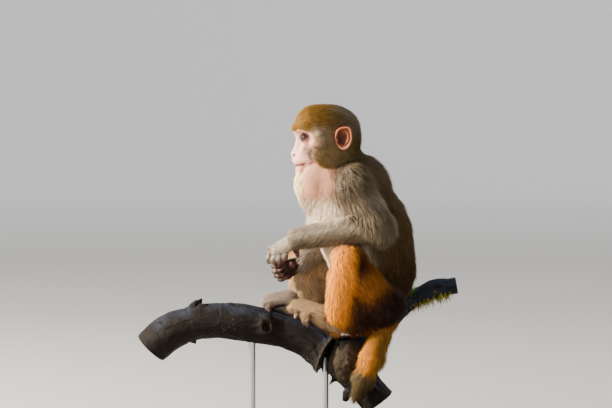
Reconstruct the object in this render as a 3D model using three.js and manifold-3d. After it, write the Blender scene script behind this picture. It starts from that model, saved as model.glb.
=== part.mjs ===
// A young macaque, life size, sitting on a forked branch that two rods hold over a flat stand.
// Millimetres, +Z up. The macaque looks along -Y and its left side is towards +X.
// The origin is the middle of the stand base's underside. Every solid has the outline of the coat.
import * as THREE from "three";
import { mergeVertices } from "three/addons/utils/BufferGeometryUtils.js";
import Module from "manifold-3d";

const wasm = await Module();
wasm.setup();

// Driving dimensions.
const gap = 0.35; // between pieces that touch
const cutGap = 0.4; // width of the thin cuts at the joints
const bodyYaw = THREE.MathUtils.degToRad(20); // the trunk turns this far from -Y towards +X
const headYaw = THREE.MathUtils.degToRad(12);
const headCentre = V(21, -10, 436);
const eyeRadius = 8.4;
const eyeSpacing = 30; // centre to centre
const earHeight = 34;
const earWidth = 25;
const limbRadius = 26; // of the branch
const baseSize = { length: 330, width: 200, height: 16, corner: 26, bevel: 2.5 };
const rodRadius = 5;
const rodSocket = 14; // how far a rod goes into the branch
const baseSocket = 9; // and into the base

// The joints of the skeleton.
const joint = {
  rump: V(0, 55, 189),
  loin: V(0, 58, 240),
  back: V(2, 45, 287),
  chest: V(8, 26, 330),
  withers: V(14, 25, 357),
  throat: V(24, -27, 366),
  nape: V(17, 14, 398),
  shoulderLeft: V(50, 26, 362),
  elbowLeft: V(74, 66, 301),
  wristLeft: V(45, -52, 287),
  knuckleLeft: V(37, -79, 270),
  shoulderRight: V(-28, 6, 360),
  elbowRight: V(-54, 22, 290),
  wristRight: V(-6, -44, 252),
  knuckleRight: V(4, -70, 241),
  hipLeft: V(32, 66, 197),
  kneeLeft: V(60, 17, 262),
  ankleLeft: V(27, 1, 171),
  toeLeft: V(17, -50, 182),
  hipRight: V(-34, 56, 195),
  kneeRight: V(-33, -51, 262),
  ankleRight: V(-14, -45, 200),
  toeRight: V(-7, -90, 192),
  tailRoot: V(6, 71, 168),
  tailBend: V(38, 53, 118),
  tailTip: V(36, 25, 60),
};

function V(x, y, z) {
  return new THREE.Vector3(x, y, z);
}

const lerp = THREE.MathUtils.lerp;
const clamp = THREE.MathUtils.clamp;
const between = (a, b, share) => a.clone().lerp(b, share);

// Fields: each gives a point's distance to a surface, negative inside it.

// A ball that slides from a to b while its radius goes from ra to rb.
function bone(a, b, ra, rb) {
  const axis = b.clone().sub(a);
  const lengthSq = Math.max(axis.lengthSq(), 1e-6);
  const fromA = V(0, 0, 0);
  return (p) => {
    fromA.copy(p).sub(a);
    const share = clamp(fromA.dot(axis) / lengthSq, 0, 1);
    return fromA.addScaledVector(axis, -share).length() - lerp(ra, rb, share);
  };
}

// An ellipsoid, turned by a quaternion.
function ellipsoid(centre, radii, turn = new THREE.Quaternion()) {
  const back = turn.clone().invert();
  const q = V(0, 0, 0);
  const smallest = Math.min(radii.x, radii.y, radii.z);
  return (p) => {
    q.copy(p).sub(centre).applyQuaternion(back).divide(radii);
    const reach = q.length();
    if (reach < 1e-3) return -smallest;
    return (reach * (reach - 1)) / q.divide(radii).length();
  };
}

function softMin(a, b, softness) {
  const h = Math.max(softness - Math.abs(a - b), 0) / softness;
  return Math.min(a, b) - (h * h * softness) / 4;
}

const blend = (softness, ...fields) => (p) =>
  fields.map((field) => field(p)).reduce((a, b) => softMin(a, b, softness));
const carve = (field, hole, softness) => (p) => -softMin(-field(p), hole(p), softness);
const grown = (field, by) => (p) => field(p) - by;

// Narrows a field along the trunk's left to right axis, about a middle point.
function narrowed(field, middle, share) {
  const left = V(Math.cos(bodyYaw), Math.sin(bodyYaw), 0);
  const q = V(0, 0, 0);
  return (p) => {
    const side = q.copy(p).sub(middle).dot(left);
    q.copy(p).addScaledVector(left, side / share - side);
    return field(q) * share;
  };
}

// Geometry.

// A closed skin round a field. Rays leave a straight axis, tilted at its two ends, and stop at the surface.
class WrapGeometry extends THREE.BufferGeometry {
  constructor(field, from, to, { rings = 6, sides = 12, caps = 3, up = V(0, 0, 1) } = {}) {
    super();
    const along = to.clone().sub(from).normalize();
    const u = V(0, 0, 0).crossVectors(up, along);
    if (u.length() < 0.05) u.crossVectors(V(0, 1, 0), along);
    u.normalize();
    const v = V(0, 0, 0).crossVectors(along, u);
    const points = [];
    const reach = (origin, ray) => {
      const p = origin.clone();
      for (let step = 0; step < 200; step++) {
        const inside = -field(p);
        if (inside < 0.01) break;
        p.addScaledVector(ray, Math.max(inside * 0.8, 0.02));
      }
      points.push(p.x, p.y, p.z);
    };
    const rows = [];
    for (let i = 1; i <= caps; i++) rows.push([0, -90 + (90 * i) / (caps + 1)]);
    for (let i = 0; i < rings; i++) rows.push([i / (rings - 1), 0]);
    for (let i = 1; i <= caps; i++) rows.push([1, (90 * i) / (caps + 1)]);
    reach(from, along.clone().negate());
    for (const [share, tilt] of rows) {
      const angle = THREE.MathUtils.degToRad(tilt);
      for (let j = 0; j < sides; j++) {
        const round = (2 * Math.PI * j) / sides;
        const ray = u.clone().multiplyScalar(Math.cos(round)).addScaledVector(v, Math.sin(round));
        ray.multiplyScalar(Math.cos(angle)).addScaledVector(along, Math.sin(angle));
        reach(between(from, to, share), ray);
      }
    }
    reach(to, along);
    const last = rows.length * sides + 1;
    const index = [];
    for (let j = 0; j < sides; j++) {
      const k = (j + 1) % sides;
      index.push(0, 1 + k, 1 + j);
      for (let i = 0; i < rows.length - 1; i++) {
        const [a, b] = [1 + i * sides + j, 1 + i * sides + k];
        index.push(a, b, a + sides, b, b + sides, a + sides);
      }
      index.push(last - sides + j, last - sides + k, last);
    }
    this.setAttribute("position", new THREE.Float32BufferAttribute(points, 3));
    this.setIndex(index);
  }
}

// A closed tube along a path, whose radius and bulges come from a function of share and angle.
class BranchGeometry extends THREE.BufferGeometry {
  constructor(path, radiusAt, { rings, sides }) {
    super();
    const { normals, binormals } = path.computeFrenetFrames(rings - 1, false);
    const points = [];
    const push = (p) => points.push(p.x, p.y, p.z);
    push(path.getPointAt(0));
    for (let i = 0; i < rings; i++) {
      const share = i / (rings - 1);
      const centre = path.getPointAt(share);
      for (let j = 0; j < sides; j++) {
        const round = (2 * Math.PI * j) / sides;
        const ray = normals[i].clone().multiplyScalar(Math.cos(round));
        ray.addScaledVector(binormals[i], Math.sin(round));
        push(centre.clone().addScaledVector(ray, radiusAt(share, centre, ray)));
      }
    }
    push(path.getPointAt(1));
    const last = rings * sides + 1;
    const index = [];
    for (let j = 0; j < sides; j++) {
      const k = (j + 1) % sides;
      index.push(0, 1 + k, 1 + j);
      for (let i = 0; i < rings - 1; i++) {
        const [a, b] = [1 + i * sides + j, 1 + i * sides + k];
        index.push(a, b, a + sides, b, b + sides, a + sides);
      }
      index.push(last - sides + j, last - sides + k, last);
    }
    this.setAttribute("position", new THREE.Float32BufferAttribute(points, 3));
    this.setIndex(index);
  }
}

// A finger bone: a lathed rod with round ends, thinner at its tip.
function digit(a, b, ra, rb, sides = 6) {
  const length = a.distanceTo(b);
  const profile = [
    [0, -ra * 0.8],
    [ra, 0],
    [rb, length],
    [rb * 0.65, length + rb * 0.7],
    [0, length + rb * 0.9],
  ].map(([r, along]) => new THREE.Vector2(r, along));
  const geometry = new THREE.LatheGeometry(profile, sides);
  const turn = new THREE.Quaternion();
  turn.setFromUnitVectors(V(0, 1, 0), b.clone().sub(a).normalize());
  return geometry.applyQuaternion(turn).translate(a.x, a.y, a.z);
}

// Solids.

function solid(geometry) {
  const bare = new THREE.BufferGeometry().copy(geometry);
  bare.deleteAttribute("normal");
  bare.deleteAttribute("uv");
  const merged = mergeVertices(bare, 1e-3);
  const vertProperties = merged.attributes.position.array;
  const triVerts = new Uint32Array(merged.index.array);
  return new wasm.Manifold(new wasm.Mesh({ numProp: 3, vertProperties, triVerts }));
}

function geometryOf(made) {
  const { vertProperties, triVerts } = made.getMesh();
  const geometry = new THREE.BufferGeometry();
  geometry.setAttribute("position", new THREE.Float32BufferAttribute(vertProperties, 3));
  return geometry.setIndex(new THREE.Uint32BufferAttribute(triVerts, 1));
}

const joined = (...parts) => parts.reduce((a, b) => a.add(b));
const largest = (made) => made.decompose().reduce((a, b) => (b.volume() > a.volume() ? b : a));

// Everything past a plane, as a big block that starts half a cut away from it.
function past(point, direction) {
  const size = 900;
  const block = new THREE.BoxGeometry(size, size, size).translate(0, 0, size / 2 - cutGap / 2);
  const turn = new THREE.Quaternion().setFromUnitVectors(V(0, 0, 1), direction.clone().normalize());
  return solid(block.applyQuaternion(turn).translate(point.x, point.y, point.z));
}

const wrapped = (field, from, to, options) => (growth) =>
  solid(new WrapGeometry(grown(field, growth), from, to, options));

// Parts two limbs at a joint, on the plane that halves their angle.
function bendPlane(before, at, after) {
  const inward = at.clone().sub(before).normalize();
  const outward = after.clone().sub(at).normalize();
  return inward.add(outward).normalize();
}

// Head and neck. Points in the head's own frame: left, back and up from the middle of the skull.
const headTurn = new THREE.Quaternion().setFromAxisAngle(V(0, 0, 1), headYaw);
const onHead = (left, back, up) => V(left, back, up).applyQuaternion(headTurn).add(headCentre);
const headLump = (left, back, up, wide, deep, high) =>
  ellipsoid(onHead(left, back, up), V(wide, deep, high), headTurn);
const headBone = (a, b, ra, rb) => bone(onHead(...a), onHead(...b), ra, rb);

const eyeCentre = (side) => onHead((side * eyeSpacing) / 2, -33.5, -7);
const earCentre = (side) => onHead(side * 38, 14, -7);

const skull = blend(
  8,
  headLump(0, 0, 3, 36, 47, 39.5),
  headLump(0, 22, -12, 31, 27, 28),
  headLump(0, -27, 6, 28, 25, 15),
  headLump(24, -4, -20, 15, 24, 25),
  headLump(-24, -4, -20, 15, 24, 25),
  headLump(0, -20, -22, 24, 25, 26),
);
const muzzle = blend(
  5,
  headBone([0, -26, -26], [0, -34, -34], 19, 15.5),
  headBone([0, -40, -2], [0, -47, -27], 5, 5.5),
  headBone([0, -16, -40], [0, -33, -50], 17, 11.5),
);
const sockets = blend(
  2,
  ellipsoid(onHead(eyeSpacing / 2 + 1, -47.5, -7), V(10, 9, 7), headTurn),
  ellipsoid(onHead(-eyeSpacing / 2 - 1, -47.5, -7), V(10, 9, 7), headTurn),
);
const neckField = blend(
  16,
  bone(joint.nape, joint.withers, 27, 38),
  bone(joint.throat, joint.withers, 26, 40),
);
const headField = blend(
  10,
  carve(blend(6, skull, muzzle), sockets, 5),
  bone(joint.nape, joint.withers, 27, 36),
);

// Trunk: a row of balls down the spine, narrowed from side to side, with the haunches added.
const haunch = (hip) => bone(hip, between(hip, joint.rump, 0.6), 20, 32);
const spine = blend(
  26,
  bone(joint.rump, joint.loin, 39, 60),
  bone(joint.loin, joint.back, 60, 68),
  bone(joint.back, joint.chest, 68, 66),
  bone(joint.chest, joint.withers, 66, 48),
  bone(joint.withers, joint.throat, 44, 28),
);
const trunkField = blend(
  18,
  narrowed(spine, joint.loin, 0.8),
  haunch(joint.hipLeft),
  haunch(joint.hipRight),
  bone(joint.shoulderLeft, joint.withers, 20, 34),
  bone(joint.shoulderRight, joint.withers, 20, 34),
);

// Planes that part head from neck and neck from trunk. They tilt down towards the chin.
const neckTilt = (degrees) => {
  const angle = THREE.MathUtils.degToRad(degrees);
  const facing = V(Math.sin(bodyYaw), -Math.cos(bodyYaw), 0);
  return facing.multiplyScalar(Math.sin(angle)).add(V(0, 0, Math.cos(angle)));
};
const headPlane = { at: V(21, -10, 388), up: neckTilt(20) };
const neckPlane = { at: V(15, 0, 358), up: neckTilt(27) };
const below = (plane) => past(plane.at, plane.up.clone().negate());
const above = (plane) => past(plane.at, plane.up);

const head = (growth) =>
  wrapped(headField, onHead(0, -8, -8), onHead(0, -14, -14), { rings: 2, sides: 20, caps: 7 })(
    growth,
  ).subtract(below(headPlane));
const bodyField = blend(16, neckField, trunkField);
const neck = (growth) =>
  wrapped(bodyField, joint.withers, joint.nape, { rings: 4, sides: 16, caps: 2 })(growth)
    .subtract(above(headPlane))
    .subtract(below(neckPlane));
const trunk = (growth) =>
  wrapped(bodyField, joint.rump, between(joint.chest, joint.withers, 0.4), { rings: 8, sides: 18, caps: 3 })(
    growth,
  ).subtract(above(neckPlane));

// Ears: thin dishes that open outwards and a little forwards.
function ear(side) {
  const turn = new THREE.Quaternion().setFromEuler(new THREE.Euler(0, 0, side * -0.3 + headYaw));
  const outward = V(side, 0, 0).applyQuaternion(turn);
  const centre = earCentre(side);
  const shell = ellipsoid(centre, V(5, earWidth / 2, earHeight / 2), turn);
  const bowl = centre.clone().addScaledVector(outward, 4.2);
  const hollow = ellipsoid(bowl, V(4.6, earWidth / 2 - 2.6, earHeight / 2 - 2.8), turn);
  const back = centre.clone().addScaledVector(outward, -2.6);
  const rise = V(0, 0, earHeight / 2 - 8);
  return wrapped(carve(shell, hollow, 1.5), back.clone().sub(rise), back.clone().add(rise), {
    rings: 3,
    sides: 11,
    caps: 2,
    up: outward,
  });
}

const eyeball = (side) => (growth) => {
  const centre = eyeCentre(side);
  return solid(new THREE.SphereGeometry(eyeRadius + growth, 11, 7).translate(centre.x, centre.y, centre.z));
};

// Arms.
const hang = V(0, 0, -1);
const lowered = (point, by) => point.clone().addScaledVector(hang, by);

function arm(shoulder, elbow, wrist, knuckle) {
  const upper = bone(shoulder, elbow, 29, 21);
  const fringe = blend(
    10,
    bone(elbow, wrist, 19, 14.5),
    bone(lowered(elbow, 4), lowered(between(elbow, wrist, 0.75), 6), 19, 11),
  );
  const bend = bendPlane(shoulder, elbow, wrist);
  const fold = bendPlane(elbow, wrist, knuckle);
  return {
    upper: (growth) =>
      wrapped(upper, shoulder, elbow, { rings: 2, sides: 12, caps: 3 })(growth).subtract(past(elbow, bend)),
    fore: (growth) =>
      wrapped(fringe, elbow, wrist, { rings: 5, sides: 12, caps: 2 })(growth)
        .subtract(past(elbow, bend.clone().negate()))
        .subtract(past(wrist, fold)),
  };
}

// A hand: the back of the hand, four fingers that curl twice, and a thumb.
// reach, spread and curl are directions; the fingers lie side by side along spread.
function hand(wrist, knuckle, { spread, first, second, thumb, cut }) {
  const fingerLengths = [17, 20, 19, 15];
  const palm = blend(
    6,
    bone(wrist, knuckle, 10.5, 8),
    bone(knuckle.clone().addScaledVector(spread, -10), knuckle.clone().addScaledVector(spread, 10), 7, 7),
  );
  return (growth) => {
    const middle = between(wrist, knuckle, 0.6);
    const body = wrapped(palm, wrist, middle, { rings: 3, sides: 9, caps: 1, up: spread })(growth);
    const fingers = fingerLengths.map((length, i) => {
      const root = knuckle.clone().addScaledVector(spread, (i - 1.5) * 8);
      const bend = root.clone().addScaledVector(first, length);
      const tip = bend.clone().addScaledVector(second, length * 0.75);
      const r = 4.1 + growth;
      return joined(solid(digit(root, bend, r, r * 0.92)), solid(digit(bend, tip, r * 0.92, r * 0.75)));
    });
    const thumbRoot = between(wrist, knuckle, 0.45).addScaledVector(spread, 6);
    const thumbTip = thumbRoot.clone().addScaledVector(thumb, 21);
    const thumbSolid = solid(digit(thumbRoot, thumbTip, 4.6 + growth, 3.4 + growth));
    return joined(body, thumbSolid, ...fingers).subtract(past(wrist, cut.clone().negate()));
  };
}

// Legs.
function leg(hip, knee, ankle, toe) {
  const ham = between(knee, ankle, 0.75).add(V(0, 20, 0));
  const thigh = blend(12, bone(hip, knee, 34, 22), bone(hip, ham, 32, 19));
  const heel = lowered(ankle, 2).add(V(0, 20, 0));
  const calf = blend(
    10,
    bone(knee, ankle, 22, 15),
    bone(between(knee, ankle, 0.3), ankle, 25, 18),
    bone(between(knee, ankle, 0.5), heel, 16, 19),
  );
  const kneePlane = bendPlane(hip, knee, ankle);
  const anklePlane = bendPlane(knee, ankle, toe);
  const shin = wrapped(calf, knee, ankle, { rings: 4, sides: 12, caps: 2 });
  return {
    thigh: (growth) =>
      wrapped(thigh, hip, knee, { rings: 4, sides: 12 })(growth).subtract(past(knee, kneePlane)),
    shin: (growth) =>
      shin(growth).subtract(past(knee, kneePlane.clone().negate())).subtract(past(ankle, anklePlane)),
    anklePlane,
  };
}

// A foot: heel, sole and ball in one, five toes that curl over the branch, the great toe standing apart.
function foot(ankle, toe, { spread, curl, thumb, cut }) {
  const toeLengths = [15, 19, 20, 19, 16];
  const sole = blend(8, bone(ankle, toe, 14, 8.5), bone(ankle, between(ankle, toe, 0.8), 13, 11));
  return (growth) => {
    const body = wrapped(sole, ankle, toe, { rings: 4, sides: 9, caps: 1, up: spread })(growth);
    const forward = toe.clone().sub(ankle).normalize();
    const toes = toeLengths.map((length, i) => {
      const outer = i - 2;
      const root = toe.clone().addScaledVector(spread, outer * 6);
      const way = i === 0 ? thumb : forward.clone().multiplyScalar(0.75).add(curl).normalize();
      const start = i === 0 ? between(ankle, toe, 0.72).addScaledVector(spread, -8) : root;
      const tip = start.clone().addScaledVector(way, length);
      return solid(digit(start, tip, 4.2 + growth, 3 + growth));
    });
    return joined(body, ...toes).subtract(past(ankle, cut.clone().negate()));
  };
}

const armLeft = arm(joint.shoulderLeft, joint.elbowLeft, joint.wristLeft, joint.knuckleLeft);
const armRight = arm(joint.shoulderRight, joint.elbowRight, joint.wristRight, joint.knuckleRight);
const legLeft = leg(joint.hipLeft, joint.kneeLeft, joint.ankleLeft, joint.toeLeft);
const legRight = leg(joint.hipRight, joint.kneeRight, joint.ankleRight, joint.toeRight);

const unit = (x, y, z) => V(x, y, z).normalize();
const handLeft = hand(joint.wristLeft, joint.knuckleLeft, {
  spread: unit(0.3, 0.9, 0.1),
  first: unit(0.05, -0.25, -1),
  second: unit(-0.9, 0.2, -0.35),
  thumb: unit(-0.5, 0.35, -0.85),
  cut: bendPlane(joint.elbowLeft, joint.wristLeft, joint.knuckleLeft),
});
const handRight = hand(joint.wristRight, joint.knuckleRight, {
  spread: unit(-0.45, 0.3, -0.85),
  first: unit(0.35, -0.85, -0.3),
  second: unit(0.6, 0.7, 0.15),
  thumb: unit(0.75, -0.45, 0.35),
  cut: bendPlane(joint.elbowRight, joint.wristRight, joint.knuckleRight),
});
const footLeft = foot(joint.ankleLeft, joint.toeLeft, {
  spread: unit(-0.9, 0.1, 0.35),
  curl: unit(0.5, 0, -0.9),
  thumb: unit(0.7, -0.5, -0.6),
  cut: legLeft.anklePlane,
});
const footRight = foot(joint.ankleRight, joint.toeRight, {
  spread: unit(0.95, 0.05, -0.1),
  curl: unit(-0.35, 0, -0.8),
  thumb: unit(-0.8, -0.3, -0.5),
  cut: legRight.anklePlane,
});

// Tail: hangs from the rump over the near side of the branch.
const tailField = blend(
  10,
  bone(joint.tailRoot, joint.tailBend, 17, 20),
  bone(joint.tailBend, between(joint.tailBend, joint.tailTip, 0.55), 20, 16),
  bone(between(joint.tailBend, joint.tailTip, 0.55), joint.tailTip, 16, 5),
);
const tailPlane = joint.tailTip.clone().sub(joint.tailRoot).normalize();
const tailBase = (growth) =>
  wrapped(tailField, joint.tailRoot, joint.tailBend, { rings: 4, sides: 10 })(growth).subtract(
    past(joint.tailBend, tailPlane),
  );
const tailEnd = (growth) =>
  wrapped(tailField, joint.tailBend, joint.tailTip, { rings: 5, sides: 10 })(growth).subtract(
    past(joint.tailBend, tailPlane.clone().negate()),
  );

// The branch: a limb that arches over to the left and a thinner one that forks off behind the macaque.
const limbPath = new THREE.CatmullRomCurve3([
  V(-2, -262, 128),
  V(0, -238, 150),
  V(2, -204, 164),
  V(2, -160, 168),
  V(0, -114, 162),
  V(0, -71, 152),
  V(0, -36, 139),
  V(0, -2, 119),
  V(0, 31, 88),
  V(0, 62, 50),
]);
const forkPath = new THREE.CatmullRomCurve3([
  V(-2, 0, 116),
  V(-34, 30, 128),
  V(-60, 62, 152),
  V(-76, 100, 192),
  V(-78, 140, 211),
  V(-76, 178, 218),
]);
const limbRadiusAt = (share) => limbRadius + 1.2 * Math.sin(share * 19);
const forkRadiusAt = (share) => lerp(19, 13.5, Math.sqrt(share)) + 0.7 * Math.sin(share * 17);
const burl = ellipsoid(V(9, 17, 116), V(31, 37, 34.5)); // an old knot below the rump
const limb = (growth) =>
  joined(
    solid(new BranchGeometry(limbPath, (share) => limbRadiusAt(share) + growth, { rings: 18, sides: 12 })),
    wrapped(burl, V(5, 15, 116), V(13, 15, 116), { rings: 2, sides: 13, caps: 2 })(growth),
  );
const fork = (growth) =>
  solid(new BranchGeometry(forkPath, (s) => forkRadiusAt(s) + growth, { rings: 10, sides: 9 }));

// The stand: a flat base and two upright rods that end inside the branch.
function rod(x, y) {
  const top = branchHeight(y) - limbRadius + rodSocket;
  const bottom = baseSize.height - baseSocket;
  return (growth) => {
    const radius = rodRadius + growth;
    const geometry = new THREE.CylinderGeometry(radius, radius, top - bottom + 2 * growth, 12);
    return solid(geometry.rotateX(Math.PI / 2).translate(x, y, (top + bottom) / 2));
  };
}

// Height of the limb's middle line above a place along Y.
function branchHeight(y) {
  const samples = limbPath.getSpacedPoints(200);
  return samples.reduce((a, b) => (Math.abs(b.y - y) < Math.abs(a.y - y) ? b : a)).z;
}

function base() {
  const { length, width, height, corner, bevel } = baseSize;
  const [a, b] = [width / 2 - bevel, length / 2 - bevel];
  const outline = new THREE.Shape();
  outline.moveTo(a, b - corner);
  outline.absarc(a - corner, b - corner, corner, 0, Math.PI / 2);
  outline.absarc(corner - a, b - corner, corner, Math.PI / 2, Math.PI);
  outline.absarc(corner - a, corner - b, corner, Math.PI, 1.5 * Math.PI);
  outline.absarc(a - corner, corner - b, corner, 1.5 * Math.PI, 2 * Math.PI);
  const plate = new THREE.ExtrudeGeometry(outline, {
    depth: height - 2 * bevel,
    bevelThickness: bevel,
    bevelSize: bevel,
    bevelSegments: 1,
    curveSegments: 2,
  });
  return solid(plate.translate(0, 0, bevel));
}

// Colours and finish.
const finish = (color, roughness, metalness = 0) => ({ color, roughness, metalness });
const look = {
  crown: finish(0x8f6a34, 0.9),
  grey: finish(0x8c7c63, 0.9),
  pale: finish(0xc7b28c, 0.9),
  orange: finish(0xc07a2c, 0.9),
  skin: finish(0xe0aa94, 0.6),
  dark: finish(0x8a5f52, 0.6),
  eye: finish(0x3a1d0e, 0.1),
  bark: finish(0x4d4238, 0.95),
  wood: finish(0x3b2417, 0.45),
  steel: finish(0x9a9a9a, 0.3, 1),
};

// Every piece gives way to those before it in this list, so that none overlap. The names at the end
// of a line are the pieces that a plane parts it from already.
const pieces = [
  ["stand_rod_front", look.steel, rod(0, -118)],
  ["stand_rod_back", look.steel, rod(0, -14)],
  ["stand_base", look.wood, base],
  ["perch_limb", look.bark, limb],
  ["perch_fork", look.bark, fork],
  ["eye_left", look.eye, eyeball(1)],
  ["eye_right", look.eye, eyeball(-1)],
  ["ear_left", look.skin, ear(1)],
  ["ear_right", look.skin, ear(-1)],
  ["head", look.crown, head],
  ["trunk", look.grey, trunk],
  ["neck", look.pale, neck, "head", "trunk"],
  ["upper_arm_left", look.grey, armLeft.upper],
  ["upper_arm_right", look.grey, armRight.upper],
  ["forearm_left", look.grey, armLeft.fore, "upper_arm_left"],
  ["forearm_right", look.grey, armRight.fore, "upper_arm_right"],
  ["hand_left", look.dark, handLeft, "forearm_left"],
  ["hand_right", look.dark, handRight, "forearm_right"],
  ["thigh_left", look.orange, legLeft.thigh],
  ["thigh_right", look.orange, legRight.thigh],
  ["shin_left", look.orange, legLeft.shin, "thigh_left"],
  ["shin_right", look.pale, legRight.shin, "thigh_right"],
  ["foot_left", look.dark, footLeft, "shin_left"],
  ["foot_right", look.dark, footRight, "shin_right"],
  ["tail_base", look.orange, tailBase],
  ["tail_end", look.grey, tailEnd, "tail_base"],
];

const macaque = new THREE.Group();
const cutters = new Map();
for (const [name, material, make, ...parted] of pieces) {
  const others = [...cutters].filter(([other]) => !parted.includes(other));
  const keepClear = others.map(([, cutter]) => cutter(gap));
  const made = largest(keepClear.reduce((left, cutter) => left.subtract(cutter), make(0)));
  const mesh = new THREE.Mesh(geometryOf(made), new THREE.MeshStandardMaterial(material));
  mesh.name = name;
  macaque.add(mesh);
  cutters.set(name, make);
}

export default macaque;
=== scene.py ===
import math

import bpy
import numpy as np
import openvdb
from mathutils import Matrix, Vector


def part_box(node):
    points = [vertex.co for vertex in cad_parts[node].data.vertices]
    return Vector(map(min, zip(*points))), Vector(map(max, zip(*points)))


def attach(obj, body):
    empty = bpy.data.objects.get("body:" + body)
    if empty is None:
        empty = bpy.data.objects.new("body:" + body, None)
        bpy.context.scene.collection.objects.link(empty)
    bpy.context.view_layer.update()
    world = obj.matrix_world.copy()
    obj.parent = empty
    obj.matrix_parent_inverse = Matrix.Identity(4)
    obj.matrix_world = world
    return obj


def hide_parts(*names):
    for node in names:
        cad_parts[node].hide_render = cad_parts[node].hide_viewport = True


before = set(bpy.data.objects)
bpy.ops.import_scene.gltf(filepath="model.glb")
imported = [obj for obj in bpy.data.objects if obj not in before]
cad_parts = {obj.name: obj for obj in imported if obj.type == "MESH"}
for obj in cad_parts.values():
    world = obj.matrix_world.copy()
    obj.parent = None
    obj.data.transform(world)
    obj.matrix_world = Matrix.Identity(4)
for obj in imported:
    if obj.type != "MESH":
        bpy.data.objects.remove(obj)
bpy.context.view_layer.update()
scene = bpy.context.scene
dice = np.random.default_rng(11)
mm = 0.001  # fields, roots and locks are worked out in millimetres, meshes hold metres
coarser = 1.0


def vec(*values):
    return np.array(values, np.float32)


def unit(v):
    v = np.asarray(v, np.float32)
    return v / np.maximum(np.linalg.norm(v, axis=-1, keepdims=True), 1e-9)


def ramp(value, low, high):
    # 0 up to low, 1 from high, smooth between them
    share = np.clip((value - low) / (high - low), 0, 1)
    return share * share * (3 - 2 * share)


def mixed(a, b, share):
    return a + (b - a) * np.asarray(share, np.float32)[..., None]


def painted(tint, *layers):
    # each colour is laid over the last by its share
    for shade, share in layers:
        tint = mixed(tint, colour[shade] if isinstance(shade, str) else shade, share)
    return tint


shot = {
    "target": (0, -0.0412, 0.3337),
    "azimuth": 90,
    "elevation": 3,
    "distance": 4.0,
    "widthSeen": 0.869,  # metres across the frame at the target
    "sensor": 36,
}


def addCamera():
    camera = bpy.data.objects.new("camera", bpy.data.cameras.new("camera"))
    azimuth, elevation = math.radians(shot["azimuth"]), math.radians(shot["elevation"])
    level = math.cos(elevation)
    away = Vector((math.sin(azimuth) * level, -math.cos(azimuth) * level, math.sin(elevation)))
    camera.location = Vector(shot["target"]) + away * shot["distance"]
    camera.rotation_euler = (-away).to_track_quat("-Z", "Y").to_euler()
    camera.data.sensor_width = shot["sensor"]
    camera.data.lens = shot["sensor"] * shot["distance"] / shot["widthSeen"]
    scene.collection.objects.link(camera)
    scene.camera = camera


studio = {
    "floor": (0.42, 0.42, 0.415),
    "wall": (0.92, 0.92, 0.91),
    "floorRadius": 7.0,
    "floorRings": (0.001, 2.0, 3.5, 5.0),
    "sides": 96,
    "wallRadius": 13.0,
    "wallHeight": 6.0,
    "sky": (0.86, 0.90, 0.97),
    "skyStrength": 0.37,
    "wallGlow": 0.28,
    # name: place, size, watts, colour
    "lamps": {
        "key": ((0.50, -2.7, 1.5), 0.5, 520, (1.0, 0.92, 0.80)),
        "fill": ((3.2, 0.2, 1.4), 2.4, 20, (0.95, 0.96, 1.0)),
        "rim": ((-1.4, 2.0, 2.6), 1.0, 60, (1.0, 0.96, 0.9)),
    },
}


def addStudio():
    # a round floor that curves up into a wall far away, the same from every side
    rise = np.linspace(0, math.pi / 2, 25)
    curve = studio["floorRadius"] + (studio["wallRadius"] - studio["floorRadius"]) * np.sin(rise)
    radii = np.concatenate([studio["floorRings"], curve])
    heights = np.concatenate([np.zeros(len(studio["floorRings"])), studio["wallHeight"] * (1 - np.cos(rise))])
    turn = np.arange(studio["sides"]) * 2 * math.pi / studio["sides"]
    across, along = np.outer(radii, np.cos(turn)), np.outer(radii, np.sin(turn))
    points = np.stack([across, along, np.outer(heights, np.ones(len(turn)))], -1).reshape(-1, 3)
    floor = meshObject("floor", points / mm, ringQuads(len(radii), len(turn)))
    share = ramp(np.hypot(points[:, 0], points[:, 1]), studio["floorRings"][1], studio["floorRadius"])
    putColours(floor, "paint", mixed(vec(*studio["floor"]), vec(*studio["wall"]), share))
    putColours(floor, "glow", share[:, None] * vec(*studio["wall"]))
    paint, tree, shader = newFinish("floor")
    feed(tree, shader, {"Base Color": attribute(tree, "paint"), "Emission Color": attribute(tree, "glow")})
    feed(tree, shader, {"Emission Strength": studio["wallGlow"], "Roughness": 0.9})
    floor.data.materials.append(paint)
    world = bpy.data.worlds.new("sky")
    world.use_nodes = True
    sky = {"Color": (*studio["sky"], 1), "Strength": studio["skyStrength"]}
    feed(world.node_tree, world.node_tree.nodes["Background"], sky)
    scene.world = world
    for name, (place, size, watts, colour) in studio["lamps"].items():
        lamp = bpy.data.objects.new(name, bpy.data.lights.new(name, "AREA"))
        lamp.data.size, lamp.data.energy, lamp.data.color = size, watts, colour
        lamp.location = place
        toTarget = Vector(shot["target"]) - Vector(place)
        lamp.rotation_euler = toTarget.to_track_quat("-Z", "Y").to_euler()
        scene.collection.objects.link(lamp)


def meshObject(name, points, faces):
    mesh = bpy.data.meshes.new(name)
    faces = np.asarray(faces, np.int32)
    mesh.vertices.add(len(points))
    mesh.vertices.foreach_set("co", (np.asarray(points, np.float32) * mm).ravel())
    mesh.loops.add(faces.size)
    mesh.loops.foreach_set("vertex_index", faces.ravel())
    mesh.polygons.add(len(faces))
    mesh.polygons.foreach_set("loop_start", np.arange(len(faces), dtype=np.int32) * faces.shape[1])
    mesh.update(calc_edges=True)
    mesh.shade_smooth()
    made = bpy.data.objects.new(name, mesh)
    scene.collection.objects.link(made)
    return made


def joinedParts(parts):
    # parts are (points, faces), with the same number of corners to every face
    starts = np.cumsum([0] + [len(part[0]) for part in parts])
    points = np.concatenate([part[0] for part in parts])
    return points, np.concatenate([part[1] + start for part, start in zip(parts, starts)])


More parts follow.
